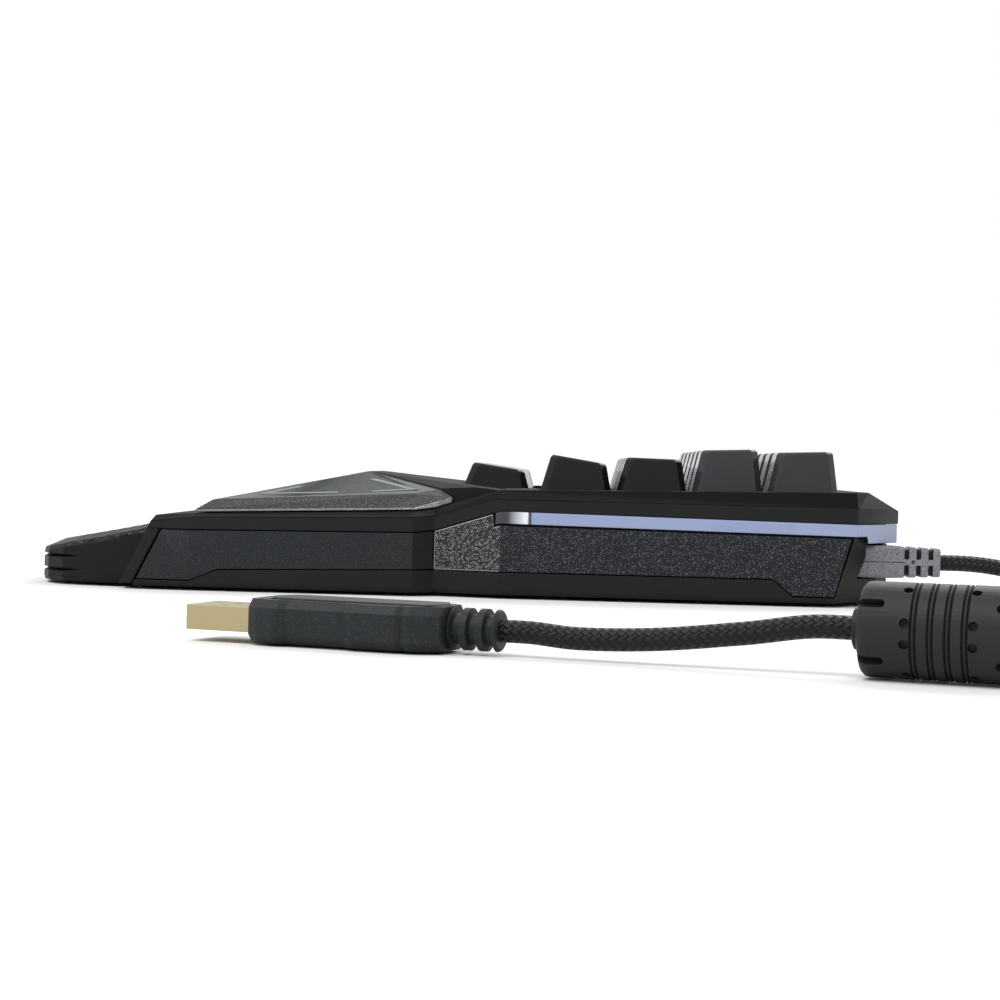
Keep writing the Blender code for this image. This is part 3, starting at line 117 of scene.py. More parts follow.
def coil_point(turn):
    """The coil runs in and out in four layers, and climbs one layer at each reversal."""
    per_layer = COIL_TURNS / COIL_LAYERS
    layer, within = divmod(turn / per_layer, 1.0)
    inward = within if layer % 2 == 0 else 1.0 - within
    radius = COIL_INNER_RADIUS + COIL_SPACING * per_layer * (1.0 - inward)
    climbed = 0.0
    for reversal in range(1, COIL_LAYERS):
        share = (turn - reversal * per_layer) / COIL_CLIMB_TURNS + 0.5
        climbed += (1.0 - math.cos(math.pi * min(max(share, 0.0), 1.0))) / 2
    angle = -2 * math.pi * turn
    height = CORD_DIAMETER / 2 + COIL_SPACING * climbed
    return Vector((COIL_X + radius * math.cos(angle), COIL_Y + radius * math.sin(angle), height))


def smooth_route(points):
    """Points on a smooth curve through a route, whose first and last stretches are straight."""
    route = [Vector(p) for p in points]
    last = len(route) - 1
    dense = [route[0]]
    for k in range(last):
        one, two = route[k], route[k + 1]
        length = (two - one).length
        before = (two - route[max(k - 1, 0)]).normalized() * length
        after = (route[min(k + 2, last)] - one).normalized() * length
        if k == 1:
            before = (one - route[0]).normalized() * length
        if k == last - 2:
            after = (route[-1] - two).normalized() * length
        steps = max(2, round(length / ROUTE_STEP))
        for part in range(1, steps + 1):
            t = part / steps
            if k in (0, last - 1):
                dense.append(one.lerp(two, t))
                continue
            start, turn = 2 * t**3 - 3 * t**2 + 1, t**3 - 2 * t**2 + t
            end, back = 3 * t**2 - 2 * t**3, t**3 - t**2
            dense.append(one * start + before * turn + two * end + after * back)
    for point in dense:
        point.z = max(point.z, CORD_DIAMETER / 2)
    return dense


boot_end = Vector((0.1196, -0.057, 0.0112))
coil_path = [coil_point(k / POINTS_PER_TURN) for k in range(round(COIL_TURNS * POINTS_PER_TURN) + 1)]
lead_route = [
    boot_end,
    boot_end + Vector((0.004, 0.0, 0.0)),
    (0.135, -0.059, 0.0102),
    (0.152, -0.072, 0.0058),
    (0.168, -0.095, 0.0022),
    (0.177, -0.125, 0.002),
    (0.1775, -0.150, 0.002),
    coil_path[0] + Vector((0.0, STRAIGHT_RUN, 0.0)),
    coil_path[0],
]
leaving = (coil_path[-1] - coil_path[-2]).normalized()
leaving.z = 0.0
tail_end = bead_centre - heading * BEAD_HALF_LENGTH
tail_route = [
    coil_path[-1],
    coil_path[-1] + leaving * STRAIGHT_RUN,
    (0.157, -0.200, 0.0126),
    (0.146, -0.213, 0.007),
    (0.136, -0.227, 0.003),
    (0.130, -0.240, 0.0022),
    (0.124, -0.250, 0.0026),
    (0.116, -0.2565, 0.0048),
    tail_end - heading * STRAIGHT_RUN,
    tail_end,
]
end_start = bead_centre + heading * BEAD_HALF_LENGTH
end_stop = plug_back - heading * PLUG_GAP
end_route = [end_start, end_start + heading * STRAIGHT_RUN]
for share, height in ((0.3, 0.0060), (0.55, 0.0042), (0.78, 0.0036)):
    sagging = end_start.lerp(end_stop, share)
    end_route.append(Vector((sagging.x, sagging.y, height)))
end_route += [end_stop - heading * 0.004, end_stop]
cord_path = smooth_route(lead_route) + coil_path[1:] + smooth_route(tail_route)[1:]
cord_path += smooth_route(end_route)


def new_material(name, colour, roughness, metallic=0.0):
    """A material with its plain values on the shader, its node tree and its shader."""
    made = bpy.data.materials.new(name)
    made.use_nodes = True
    tree = made.node_tree
    shader = tree.nodes["Principled BSDF"]
    shader.inputs["Base Color"].default_value = (*colour, 1.0)
    shader.inputs["Roughness"].default_value = roughness
    shader.inputs["Metallic"].default_value = metallic
    return made, tree, shader


def math_node(tree, operation, one, two=None):
    """A Math node whose inputs are sockets or numbers; gives its output."""
    node = tree.nodes.new("ShaderNodeMath")
    node.operation = operation
    for place, value in zip(node.inputs, (one, two)):
        if value is None:
            continue
        if isinstance(value, (int, float)):
            place.default_value = value
        else:
            tree.links.new(value, place)
    return node.outputs[0]


def mixed_colour(tree, share, one, two):
    """A colour between two, each of them a socket or three numbers, by a share; gives its output."""
    mix = tree.nodes.new("ShaderNodeMix")
    mix.data_type = "RGBA"
    tree.links.new(share, mix.inputs["Factor"])
    for place, colour in zip(mix.inputs[6:8], (one, two)):
        if isinstance(colour, bpy.types.NodeSocket):
            tree.links.new(colour, place)
        else:
            place.default_value = (*colour, 1.0)
    return mix.outputs[2]


def bumped(tree, shader, height, distance):
    """Raises and lowers the surface by a pattern, as far as the distance says."""
    bump = tree.nodes.new("ShaderNodeBump")
    bump.inputs["Strength"].default_value = 1.0
    bump.inputs["Distance"].default_value = distance
    tree.links.new(height, bump.inputs["Height"])
    tree.links.new(bump.outputs["Normal"], shader.inputs["Normal"])


def braid_material():
    """Two sets of yarns that cross over and under each other round the cord."""
    made, tree, shader = new_material("black_braid", (0.01, 0.01, 0.012), 0.38)
    shader.inputs["Specular IOR Level"].default_value = 0.22
    ring = tree.nodes.new("ShaderNodeAttribute")
    ring.attribute_name = "ring"
    run = tree.nodes.new("ShaderNodeAttribute")
    run.attribute_name = "run"
    parted = tree.nodes.new("ShaderNodeSeparateXYZ")
    tree.links.new(ring.outputs["Vector"], parted.inputs[0])
    angle = math_node(tree, "ARCTAN2", parted.outputs["Y"], parted.outputs["X"])
    turn = math_node(tree, "MULTIPLY", angle, BRAID_STRANDS / (2 * math.pi))
    advance = math_node(tree, "DIVIDE", run.outputs["Fac"], BRAID_PITCH)
    ridges = []
    cells = []
    for direction in ("ADD", "SUBTRACT"):
        diagonal = math_node(tree, direction, turn, advance)
        wave = math_node(tree, "SINE", math_node(tree, "MULTIPLY", diagonal, math.pi))
        ridges.append(math_node(tree, "ABSOLUTE", wave))
        cells.append(math_node(tree, "FLOOR", diagonal))
    total = math_node(tree, "ADD", *cells)
    over = math_node(tree, "ABSOLUTE", math_node(tree, "MODULO", total, 2.0))
    first = math_node(tree, "MULTIPLY", ridges[0], over)
    under = math_node(tree, "SUBTRACT", 1.0, over)
    second = math_node(tree, "MULTIPLY", ridges[1], under)
    height = math_node(tree, "ADD", first, second)
    # The yarns' crowns are painted lighter and the creases between them darker: painted light and painted
    # shade.
    lit = math_node(tree, "POWER", height, 3.0)
    colour = mixed_colour(tree, lit, (0.0012, 0.0012, 0.0012), (0.009, 0.009, 0.01))
    tree.links.new(colour, shader.inputs["Base Color"])
    bumped(tree, shader, height, distance=0.0002)
    return made


def tube_tree(look):
    """A round tube along a chain of edges, which keeps the run along it and the direction round it."""
    tree = bpy.data.node_groups.new("braided_tube", "GeometryNodeTree")
    sockets = tree.interface
    sockets.new_socket("Geometry", in_out="INPUT", socket_type="NodeSocketGeometry")
    diameter = sockets.new_socket("Diameter", in_out="INPUT", socket_type="NodeSocketFloat")
    sides = sockets.new_socket("Sides", in_out="INPUT", socket_type="NodeSocketInt")
    sockets.new_socket("Geometry", in_out="OUTPUT", socket_type="NodeSocketGeometry")
    node, link = tree.nodes.new, tree.links.new
    given, made = node("NodeGroupInput"), node("NodeGroupOutput")
    line = node("GeometryNodeMeshToCurve")
    run = node("GeometryNodeSplineParameter")
    keep_run = node("GeometryNodeStoreNamedAttribute")
    keep_run.inputs["Name"].default_value = "run"
    halve = node("ShaderNodeMath")
    halve.operation = "MULTIPLY"
    halve.inputs[1].default_value = 0.5
    circle = node("GeometryNodeCurvePrimitiveCircle")
    place = node("GeometryNodeInputPosition")
    unit = node("ShaderNodeVectorMath")
    unit.operation = "NORMALIZE"
    keep_ring = node("GeometryNodeStoreNamedAttribute")
    keep_ring.data_type = "FLOAT_VECTOR"
    keep_ring.inputs["Name"].default_value = "ring"
    sweep = node("GeometryNodeCurveToMesh")
    sweep.inputs["Fill Caps"].default_value = True
    smooth = node("GeometryNodeSetShadeSmooth")
    realize = node("GeometryNodeRealizeInstances")
    paint = node("GeometryNodeSetMaterial")
    paint.inputs["Material"].default_value = look
    link(given.outputs["Geometry"], line.inputs["Mesh"])
    link(line.outputs["Curve"], keep_run.inputs["Geometry"])
    link(run.outputs["Length"], keep_run.inputs["Value"])
    link(given.outputs["Diameter"], halve.inputs[0])
    link(halve.outputs[0], circle.inputs["Radius"])
    link(given.outputs["Sides"], circle.inputs["Resolution"])
    link(circle.outputs["Curve"], keep_ring.inputs["Geometry"])
    link(place.outputs["Position"], unit.inputs[0])
    link(unit.outputs["Vector"], keep_ring.inputs["Value"])
    link(keep_run.outputs["Geometry"], sweep.inputs["Curve"])
    link(keep_ring.outputs["Geometry"], sweep.inputs["Profile Curve"])
    link(sweep.outputs["Mesh"], smooth.inputs["Geometry"])
    link(smooth.outputs["Geometry"], realize.inputs["Geometry"])
    link(realize.outputs["Geometry"], paint.inputs["Geometry"])
    link(paint.outputs["Geometry"], made.inputs["Geometry"])
    return tree, {"Diameter": diameter.identifier, "Sides": sides.identifier}


def grown(name, base, tree, sockets, values):
    """A piece with the plain mesh that a Geometry Nodes tree makes of a base mesh."""
    holder = placed(name + "_holder", base)
    step = holder.modifiers.new("grow", "NODES")
    step.node_group = tree
    for word, value in values.items():
        step[sockets[word]] = value
    graph = bpy.context.evaluated_depsgraph_get()
    mesh = bpy.data.meshes.new_from_object(holder.evaluated_get(graph))
    bpy.data.objects.remove(holder, do_unlink=True)
    return placed(name, mesh)


line_mesh = bpy.data.meshes.new("cord_line")
line_mesh.from_pydata(cord_path, [(k, k + 1) for k in range(len(cord_path) - 1)], [])
braid_tree, braid_sockets = tube_tree(braid_material())
cord_sizes = {"Diameter": CORD_DIAMETER, "Sides": CORD_SIDES}
braided_cord = grown("braided_cord", line_mesh, braid_tree, braid_sockets, cord_sizes)
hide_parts("cable_lead", "cable_coil", "cable_tail", "cable_end")
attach(braided_cord, "housing")

# Ferrite bead
# A split shell of black plastic snapped round the cord over a ferrite core, with a short collar at each end.
# The mould gives it a fine spark grain, four pairs of rings round its waist, round dimples and end slots.

BEAD_SIDES = 56
RING_PAIRS = (-0.00405, -0.00135, 0.00135, 0.00405)
RING_OFFSET = 0.00035
RING_HALF_WIDTH = 0.00025
RING_RADIUS = 0.00745
HOLE_SIDES = 16
HOLE_TOP = 0.0090
DIMPLE_RUNS = (-0.0054, 0.0054)
DIMPLE_ANGLES = (0.22, 1.05, 2.09, 2.92, 3.36, 4.19, 5.24, 6.06)
DIMPLE_RADIUS = 0.0008
DIMPLE_FLOOR = 0.0068
SLOT_RUNS = (-0.0096, 0.0156)
SLOT_ANGLES = (0.63, math.pi - 0.63, math.pi + 0.63, -0.63)
SLOT_RADIUS = 0.00085
SLOT_FLOOR = 0.0062
SLOT_LENGTH = 0.006


def object_place(tree):
    """The place on a piece, in its own coordinates."""
    return tree.nodes.new("ShaderNodeTexCoord").outputs["Object"]


def cloudy(tree, place, scale, detail):
    """A cloudy pattern between 0 and 1; gives its output."""
    noise = tree.nodes.new("ShaderNodeTexNoise")
    noise.inputs["Scale"].default_value = scale
    noise.inputs["Detail"].default_value = detail
    tree.links.new(place, noise.inputs["Vector"])
    return noise.outputs["Fac"]


def uneven_gloss(tree, shader, pattern, low, high):
    """Lets the roughness run between two values with a pattern."""
    spread = tree.nodes.new("ShaderNodeMapRange")
    spread.inputs["To Min"].default_value = low
    spread.inputs["To Max"].default_value = high
    tree.links.new(pattern, spread.inputs["Value"])
    tree.links.new(spread.outputs["Result"], shader.inputs["Roughness"])


def grained_plastic(name, colour, roughness, grain, depth, fleck=0.0, fleck_colour=None, gloss=0.2):
    """Moulded plastic: a spark grain, faint wear in its gloss, and pale flecks on a share of its grains."""
    made, tree, shader = new_material(name, colour, roughness)
    shader.inputs["Specular IOR Level"].default_value = gloss
    place = object_place(tree)
    bumped(tree, shader, cloudy(tree, place, scale=1.0 / grain, detail=3.0), depth)
    wear = cloudy(tree, place, scale=45.0, detail=4.0)
    uneven_gloss(tree, shader, wear, low=roughness - 0.07, high=roughness + 0.07)
    pale = [c * 1.25 for c in colour]
    dark = [c * 0.8 for c in colour]
    tone = mixed_colour(tree, wear, dark, pale)
    if fleck:
        spots = tree.nodes.new("ShaderNodeTexVoronoi")
        spots.inputs["Scale"].default_value = 1.0 / grain
        tree.links.new(place, spots.inputs["Vector"])
        parted = tree.nodes.new("ShaderNodeSeparateColor")
        tree.links.new(spots.outputs["Color"], parted.inputs[0])
        chosen = math_node(tree, "GREATER_THAN", parted.outputs[0], 1.0 - fleck)
        near = math_node(tree, "LESS_THAN", spots.outputs["Distance"], 0.5)
        tone = mixed_colour(tree, math_node(tree, "MULTIPLY", chosen, near), tone, fleck_colour)
    tree.links.new(tone, shader.inputs["Base Color"])
    return made


def plain_mesh(name, bm):
    """Turns finished mesh work into a mesh."""
    mesh = bpy.data.meshes.new(name)
    bm.to_mesh(mesh)
    bm.free()
    return mesh


def add_piece(name, bm, look):
    """Finished mesh work as a piece, with its faces turned outwards."""
    bmesh.ops.recalc_face_normals(bm, faces=bm.faces)
    mesh = plain_mesh(name, bm)
    mesh.materials.append(look)
    return placed(name, mesh)


def bridge(bm, rings):
    """Bridges rings of equally many points, and closes the first and the last."""
    made = [[bm.verts.new(point) for point in ring] for ring in rings]
    count = len(made[0])
    for one, two in zip(made, made[1:]):
        for k in range(count):
            bm.faces.new([one[k], one[(k + 1) % count], two[(k + 1) % count], two[k]])
    bm.faces.new(made[0])
    bm.faces.new(made[-1])


def round_ring(centre, run, radius, sides):
    """A circle round the cord's heading, at a run along it from a centre."""
    ring = []
    for k in range(sides):
        angle = 2 * math.pi * k / sides
        aside = across * (radius * math.cos(angle)) + Vector((0.0, 0.0, radius * math.sin(angle)))
        ring.append(centre + heading * run + aside)
    return ring


def carve(piece, bm):
    """Cuts closed shapes out of a piece for good."""
    bmesh.ops.recalc_face_normals(bm, faces=bm.faces)
    cutter = placed("cutter", plain_mesh("cutter", bm))
    step = piece.modifiers.new("carve", "BOOLEAN")
    step.operation = "DIFFERENCE"
    step.solver = "EXACT"
    step.object = cutter
    graph = bpy.context.evaluated_depsgraph_get()
    mesh = bpy.data.meshes.new_from_object(piece.evaluated_get(graph))
    piece.modifiers.remove(step)
    piece.data = mesh
    bpy.data.objects.remove(cutter, do_unlink=True)


def bead_hole(bm, run, angle, radius, floor, length=0.0):
    """A blind hole towards the cord, at a run along it and an angle round it; a long one is a slot."""
    aside = across * math.cos(angle) + Vector((0.0, 0.0, math.sin(angle)))
    beside = heading.cross(aside)
    rings = []
    for reach in (floor, HOLE_TOP):
        ring = []
        for k in range(HOLE_SIDES):
            turn = 2 * math.pi * k / HOLE_SIDES
            rear_half = k in range(5, 12)
            shift = length if rear_half else 0.0
            along = heading * (run + math.cos(turn) * radius - shift)
            ring.append(bead_centre + along + beside * (math.sin(turn) * radius) + aside * reach)
        rings.append(ring)
    bridge(bm, rings)


bead_collar = [
    (-BEAD_HALF_LENGTH, 0.0030), (-0.0145, 0.0035), (-0.01325, 0.0035),
    (-0.01325, 0.0064), (-0.0130, 0.0072), (-0.01245, 0.0077), (-0.0115, BEAD_RADIUS),
]
bead_rings = []
for pair in RING_PAIRS:
    for middle in (pair - RING_OFFSET, pair + RING_OFFSET):
        bead_rings.append((middle - RING_HALF_WIDTH, BEAD_RADIUS))
        bead_rings.append((middle, RING_RADIUS))
        bead_rings.append((middle + RING_HALF_WIDTH, BEAD_RADIUS))
bead_steps = bead_collar + bead_rings + [(-run, radius) for run, radius in reversed(bead_collar)]
bm = bmesh.new()
bridge(bm, [round_ring(bead_centre, run, radius, BEAD_SIDES) for run, radius in bead_steps])
bead_black = grained_plastic(
    "bead_black", (0.019, 0.02, 0.023), roughness=0.5, grain=0.00035, depth=0.00003
)
bead_shell = add_piece("bead_shell", bm, bead_black)
bm = bmesh.new()
for run in DIMPLE_RUNS:
    for angle in DIMPLE_ANGLES:
        bead_hole(bm, run, angle, DIMPLE_RADIUS, DIMPLE_FLOOR)
for angle in SLOT_ANGLES:
    for run in SLOT_RUNS:
        bead_hole(bm, run, angle, SLOT_RADIUS, SLOT_FLOOR, SLOT_LENGTH)
carve(bead_shell, bm)
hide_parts("ferrite_bead")
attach(bead_shell, "housing")

# Plug
# A flat plug: a black grip moulded over a gold plated shell, and a ribbed sleeve that eases the cord out.
# Each broad face of the grip carries a raised panel, and the shell has two square windows above and below.

PLUG_HALF_WIDTH = 0.00865
PLUG_HALF_HEIGHT = 0.0039
PLUG_CORNER = 0.0015
PLUG_EDGE = 0.0002
SHARP_ANGLE = math.radians(22)
FLAT_ANGLE = math.radians(0.4)
MERGE_REACH = 0.000001
SHELL_SEAT_LOW = (-0.0021, -0.0063, -0.00255)
SHELL_SEAT_HIGH = (0.0003, 0.0063, 0.00255)
SHELL_EDGE = 0.00012
PANEL_HALF_WIDTH = 0.0053
PANEL_LEVELS = ((0.0036, 0.0), (0.0040, 0.0), (0.0042, 0.0003))
SLEEVE_SIDES = 32
SLEEVE_START = 0.0366
SLEEVE_RADIUS = 0.00375
NECK_RADIUS = 0.0027
NECKS = 3
NECK_PITCH = 0.00307
NECK_TOP_REACH, NECK_FLOOR_REACH = 0.0009, 0.0006


def plug_point(run, aside, up):
    """A place on the plug, by its run back from the grip's front and its way off the middle line."""
    return plug_front - heading * run + across * aside + Vector((0.0, 0.0, up))


def grip_section(run, share):
    """A section of the grip: a rectangle with cut corners, and a share of the grip's full width."""
    wide, high = PLUG_HALF_WIDTH * share, PLUG_HALF_HEIGHT
    corners = [(-wide, PLUG_CORNER - high), (PLUG_CORNER - wide, -high)]
    corners += [(wide - PLUG_CORNER, -high), (wide, PLUG_CORNER - high)]
    corners += [(y, -z) for y, z in reversed(corners)]
    return [plug_point(run, y, z) for y, z in corners]


def heading_box(bm, centre, low, high):
    """A box along the cord's heading: run, aside and up, from a centre."""
    middle = [(a + b) / 2 for a, b in zip(low, high)]
    size = [b - a for a, b in zip(low, high)]
    turn = Matrix((heading, across, (0.0, 0.0, 1.0))).transposed().to_4x4()
    place = Matrix.Translation(centre) @ turn @ Matrix.Translation(middle)
    bmesh.ops.create_cube(bm, size=1.0, matrix=place @ Matrix.Diagonal((*size, 1.0)))


def round_edges(bm, width):
    """Rounds a mesh's sharp edges where there is room for it."""
    sharp = []
    for edge in bm.edges:
        if edge.calc_length() > 2.5 * width and edge.calc_face_angle(0.0) > SHARP_ANGLE:
            sharp.append(edge)
    bmesh.ops.bevel(
        bm, geom=sharp, offset=width, segments=2, profile=0.5, affect="EDGES", clamp_overlap=False
    )


grip_outline = [
    (0.0, 0.80), (0.0006, 0.85), (0.0018, 0.92), (0.0055, 1.0), (0.0062, 0.985), (0.0075, 0.885),
    (0.0186, 0.885), (0.0199, 0.99), (0.0206, 1.0), (0.0282, 1.0), (0.0290, 0.985), (0.0298, 0.92),
    (0.0309, 0.985), (0.0316, 1.0), (0.0346, 0.80), (0.0364, 0.66), (0.0366, 0.6),
]
bm = bmesh.new()
bridge(bm, [grip_section(run, share) for run, share in grip_outline])
round_edges(bm, PLUG_EDGE)
plug_black = grained_plastic(
    "plug_black", (0.016, 0.019, 0.021), roughness=0.5, grain=0.0003, depth=0.00003,
    fleck=0.25, fleck_colour=(0.03, 0.034, 0.037),
)
plug_grip = add_piece("plug_grip", bm, plug_black)
bm = bmesh.new()
heading_box(bm, plug_front, SHELL_SEAT_LOW, SHELL_SEAT_HIGH)
carve(plug_grip, bm)

bm = bmesh.new()
for side in (-1, 1):
    rings = []
    for level, inset in PANEL_LEVELS:
        wide = PANEL_HALF_WIDTH - inset
        outline = [(0.0014 + inset, 0.0), (0.0037 + inset, wide), (0.0338, wide), (0.0362 - inset, 0.0)]
        outline += [(run, -y) for run, y in reversed(outline[1:-1])]
        rings.append([plug_point(run, y, side * level) for run, y in outline])
    bridge(bm, rings)
plug_panels = add_piece("plug_panels", bm, plug_black)

sleeve_outline = [(0.0364, 0.0030), (0.0368, 0.0037)]
for neck in range(NECKS):
    middle = SLEEVE_START + NECK_PITCH * (neck + 0.5)
    sleeve_outline += [(middle - NECK_TOP_REACH, SLEEVE_RADIUS), (middle - NECK_FLOOR_REACH, NECK_RADIUS)]
    sleeve_outline += [(middle + NECK_FLOOR_REACH, NECK_RADIUS), (middle + NECK_TOP_REACH, SLEEVE_RADIUS)]
sleeve_outline += [(0.0456, 0.0036), (PLUG_LENGTH, 0.0033)]
bm = bmesh.new()
bridge(bm, [round_ring(plug_front, -run, radius, SLEEVE_SIDES) for run, radius in sleeve_outline])
plug_sleeve = add_piece("plug_sleeve", bm, plug_black)

for piece in (plug_grip, plug_panels, plug_sleeve):
    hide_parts("plug_body")
    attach(piece, "housing")


def brushed_gold():
    """Flash plating over a stamped shell, with faint draw marks along it."""
    made, tree, shader = new_material("plated_gold", (0.42, 0.35, 0.2), 0.3, 1.0)
    stretch = tree.nodes.new("ShaderNodeMapping")
    stretch.inputs["Rotation"].default_value = (0.0, 0.0, PLUG_TURN)
    stretch.inputs["Scale"].default_value = (60.0, 2500.0, 2500.0)
    tree.links.new(object_place(tree), stretch.inputs["Vector"])
    marks = cloudy(tree, stretch.outputs["Vector"], scale=1.0, detail=2.0)
    uneven_gloss(tree, shader, marks, low=0.2, high=0.42)
    bumped(tree, shader, marks, distance=0.000004)
    return made


def softened(node, name, width, looks, body="housing"):
    """A copy of a CAD node with its flat faces made whole and its sharp edges rounded, standing for it."""
    bm = bmesh.new()
    bm.from_mesh(frame["nodes"][node].data)
    bmesh.ops.remove_doubles(bm, verts=bm.verts, dist=MERGE_REACH)
    bmesh.ops.dissolve_limit(bm, angle_limit=FLAT_ANGLE, verts=bm.verts, edges=bm.edges)
    round_edges(bm, width)
    bmesh.ops.triangulate(bm, faces=bm.faces)
    made = placed(name, plain_mesh(name, bm))
    for look in looks:
        made.data.materials.append(look)
    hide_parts(node)
    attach(made, body)
    return made


def finish_node(node, look):
    """Gives a CAD node that stays as it is its material."""
    frame["nodes"][node].material_slots[0].material = look


plug_shell = softened("usb_shell", "plug_shell", SHELL_EDGE, [brushed_gold()])
tongue_white = grained_plastic(
    "tongue_white", (0.75, 0.75, 0.72), roughness=0.45, grain=0.0004, depth=0.00001
)
finish_node("usb_tongue", tongue_white)

# Cable boot
# A tapered sleeve of grey rubber moulded on the cord and gripped by the case at its rear corner.
# Three pairs of slots let it bend; their insides are painted dark as painted shade. Its mould leaves a
# parting line and a small round mark.

SLOTS_FRONT_X, SLOTS_REAR_X = 0.1075, 0.1195
SLOT_FACE_REACH = 0.0032
PARTING_X = 0.1022
PARTING_ASIDE = 0.004
PARTING_SIZE = (0.0166, 0.0016, 0.0002)
MOULD_MARK = (0.1125, -0.0038, 0.0001)
MOULD_MARK_RADIUS = 0.0005
MOULD_MARK_DEPTH = 0.0012
BOOT_EDGE = 0.0002

boot_rubber = grained_plastic(
    "boot_rubber", (0.215, 0.22, 0.235), roughness=0.6, grain=0.0003, depth=0.00012,
    fleck=0.35, fleck_colour=(0.1, 0.103, 0.11),
)
# The slots' inner faces: painted shade, near black.
slot_painted_shade = grained_plastic(
    "slot_painted_shade", (0.006, 0.006, 0.007), roughness=0.6, grain=0.0004, depth=0.00002
)
boot_sleeve = softened("cable_boot", "boot_sleeve", BOOT_EDGE, [boot_rubber, slot_painted_shade])
for face in boot_sleeve.data.polygons:
    aside = max(abs(face.center.y - boot_end.y), abs(face.center.z - boot_end.z))
    if SLOTS_FRONT_X < face.center.x < SLOTS_REAR_X and aside < SLOT_FACE_REACH:
        face.material_index = 1
bm = bmesh.new()
for side in (-1, 1):
    place = Matrix.Translation((PARTING_X, boot_end.y + side * PARTING_ASIDE, boot_end.z))
    bmesh.ops.create_cube(bm, size=1.0, matrix=place @ Matrix.Diagonal((*PARTING_SIZE, 1.0)))
mark_x, mark_aside, mark_up = MOULD_MARK
mark_place = Matrix.Translation((mark_x, boot_end.y + mark_aside, boot_end.z + mark_up))
bmesh.ops.create_cone(
    bm, cap_ends=True, segments=16, radius1=MOULD_MARK_RADIUS, radius2=MOULD_MARK_RADIUS,
    depth=MOULD_MARK_DEPTH, matrix=mark_place @ Matrix.Rotation(math.pi / 2, 4, "X"),
)
carve(boot_sleeve, bm)

# Bottom case
# One deep tray of black plastic whose chamfered skirt shows as a dark band below the side panels.
# The boot passes through its rear corner, and four screws hold it to the top frame.

CASE_EDGE = 0.00012

case_black = grained_plastic(
    "case_black", (0.006, 0.007, 0.0072), roughness=0.45, grain=0.00025, depth=0.000006
)
case_tray = softened("bottom_case", "case_tray", CASE_EDGE, [case_black])

# Feet
# Four strips of matt black rubber that keep the housing from sliding.
# They are glued into shallow pockets under the case.

FOOT_EDGE = 0.0002
CORNERS = ("front_right", "front_left", "rear_right", "rear_left")

foot_rubber = grained_plastic(
    "foot_rubber", (0.02, 0.02, 0.02), roughness=0.85, grain=0.0004, depth=0.00004
)
for word in CORNERS:
    foot = softened(f"foot_{word}", f"foot_pad_{word}", FOOT_EDGE, [foot_rubber])

# Screws
# Four plated steel screws with round heads.
# They are driven up through the case into the frame's bosses and hold the two together.


def worn_steel():
    """Plated steel, bright and dull in patches."""
    made, tree, shader = new_material("screw_steel", (0.5, 0.5, 0.5), 0.35, 1.0)
    marks = cloudy(tree, object_place(tree), scale=900.0, detail=2.0)
    uneven_gloss(tree, shader, marks, low=0.25, high=0.5)
    bumped(tree, shader, marks, distance=0.00001)
    return made


steel = worn_steel()
for word in CORNERS:
    finish_node(f"screw_{word}", steel)

# Controller board
# A green lacquered board with one chip, which reads the keys and feeds the lamps.
# It lies on two ribs in the case, under the key deck.


def board_lacquer():
    """Green lacquer over paler copper tracks."""
    made, tree, shader = new_material("board_lacquer", (0.02, 0.12, 0.05), 0.35)
    tracks = tree.nodes.new("ShaderNodeTexBrick")
    tracks.inputs["Scale"].default_value = 260.0
    tracks.inputs["Mortar Size"].default_value = 0.05
    tracks.inputs["Color1"].default_value = (0.02, 0.12, 0.05, 1.0)
    tracks.inputs["Color2"].default_value = (0.025, 0.14, 0.06, 1.0)
    tracks.inputs["Mortar"].default_value = (0.06, 0.2, 0.09, 1.0)
    tree.links.new(object_place(tree), tracks.inputs["Vector"])
    tree.links.new(tracks.outputs["Color"], shader.inputs["Base Color"])
    bumped(tree, shader, tracks.outputs["Fac"], distance=0.00002)
    return made


finish_node("controller_board", board_lacquer())

# Key stack
# A steel back plate carries a printed membrane, a sheet of silicone domes, and the plastic deck.
# The deck has a chimney for each stem, and the whole stack rests on ribs in the case.

membrane_film = grained_plastic(
    "membrane_film", (0.5, 0.55, 0.57), roughness=0.3, grain=0.003, depth=0.00001,
    fleck=0.2, fleck_colour=(0.2, 0.2, 0.2),
)
dome_silicone = grained_plastic(
    "dome_silicone", (0.72, 0.73, 0.7), roughness=0.55, grain=0.001, depth=0.00001
)
dome_silicone.node_tree.nodes["Principled BSDF"].inputs["Subsurface Weight"].default_value = 0.1
deck_black = grained_plastic(
    "deck_black", (0.008, 0.009, 0.009), roughness=0.5, grain=0.0003, depth=0.00001
)
finish_node("back_plate", steel)
finish_node("membrane_circuit", membrane_film)
finish_node("dome_sheet", dome_silicone)
finish_node("key_deck", deck_black)

# Wrist rest
# A firm black moulding, grooved round its nose and ribbed across its top.
# It is set against the frame's leaning leg.

REST_EDGE = 0.00025

rest_black = grained_plastic(
    "rest_black", (0.0022, 0.0026, 0.0028), roughness=0.5, grain=0.0003, depth=0.00001
)
wrist_block = softened("wrist_rest", "wrist_block", REST_EDGE, [rest_black])

# Side panels
# Four panels moulded with a spark grain and let into the case's sides, fine in front and coarse behind.
# The facet at the waist has painted light on its grain and a painted highlight on two thin edges, and the
# facet before it is painted dark as painted shade.

FRONT_PANEL_EDGE = 0.00015
REAR_PANEL_EDGE = 0.00018
WAIST_FRONT_X, WAIST_REAR_X = -0.012025, 0.009675
CORNER_MARGIN, FACET_MARGIN = 0.0002, 0.0001
THIN_FACE_AREA = 0.000002
PANEL_FACE_Y = 0.06

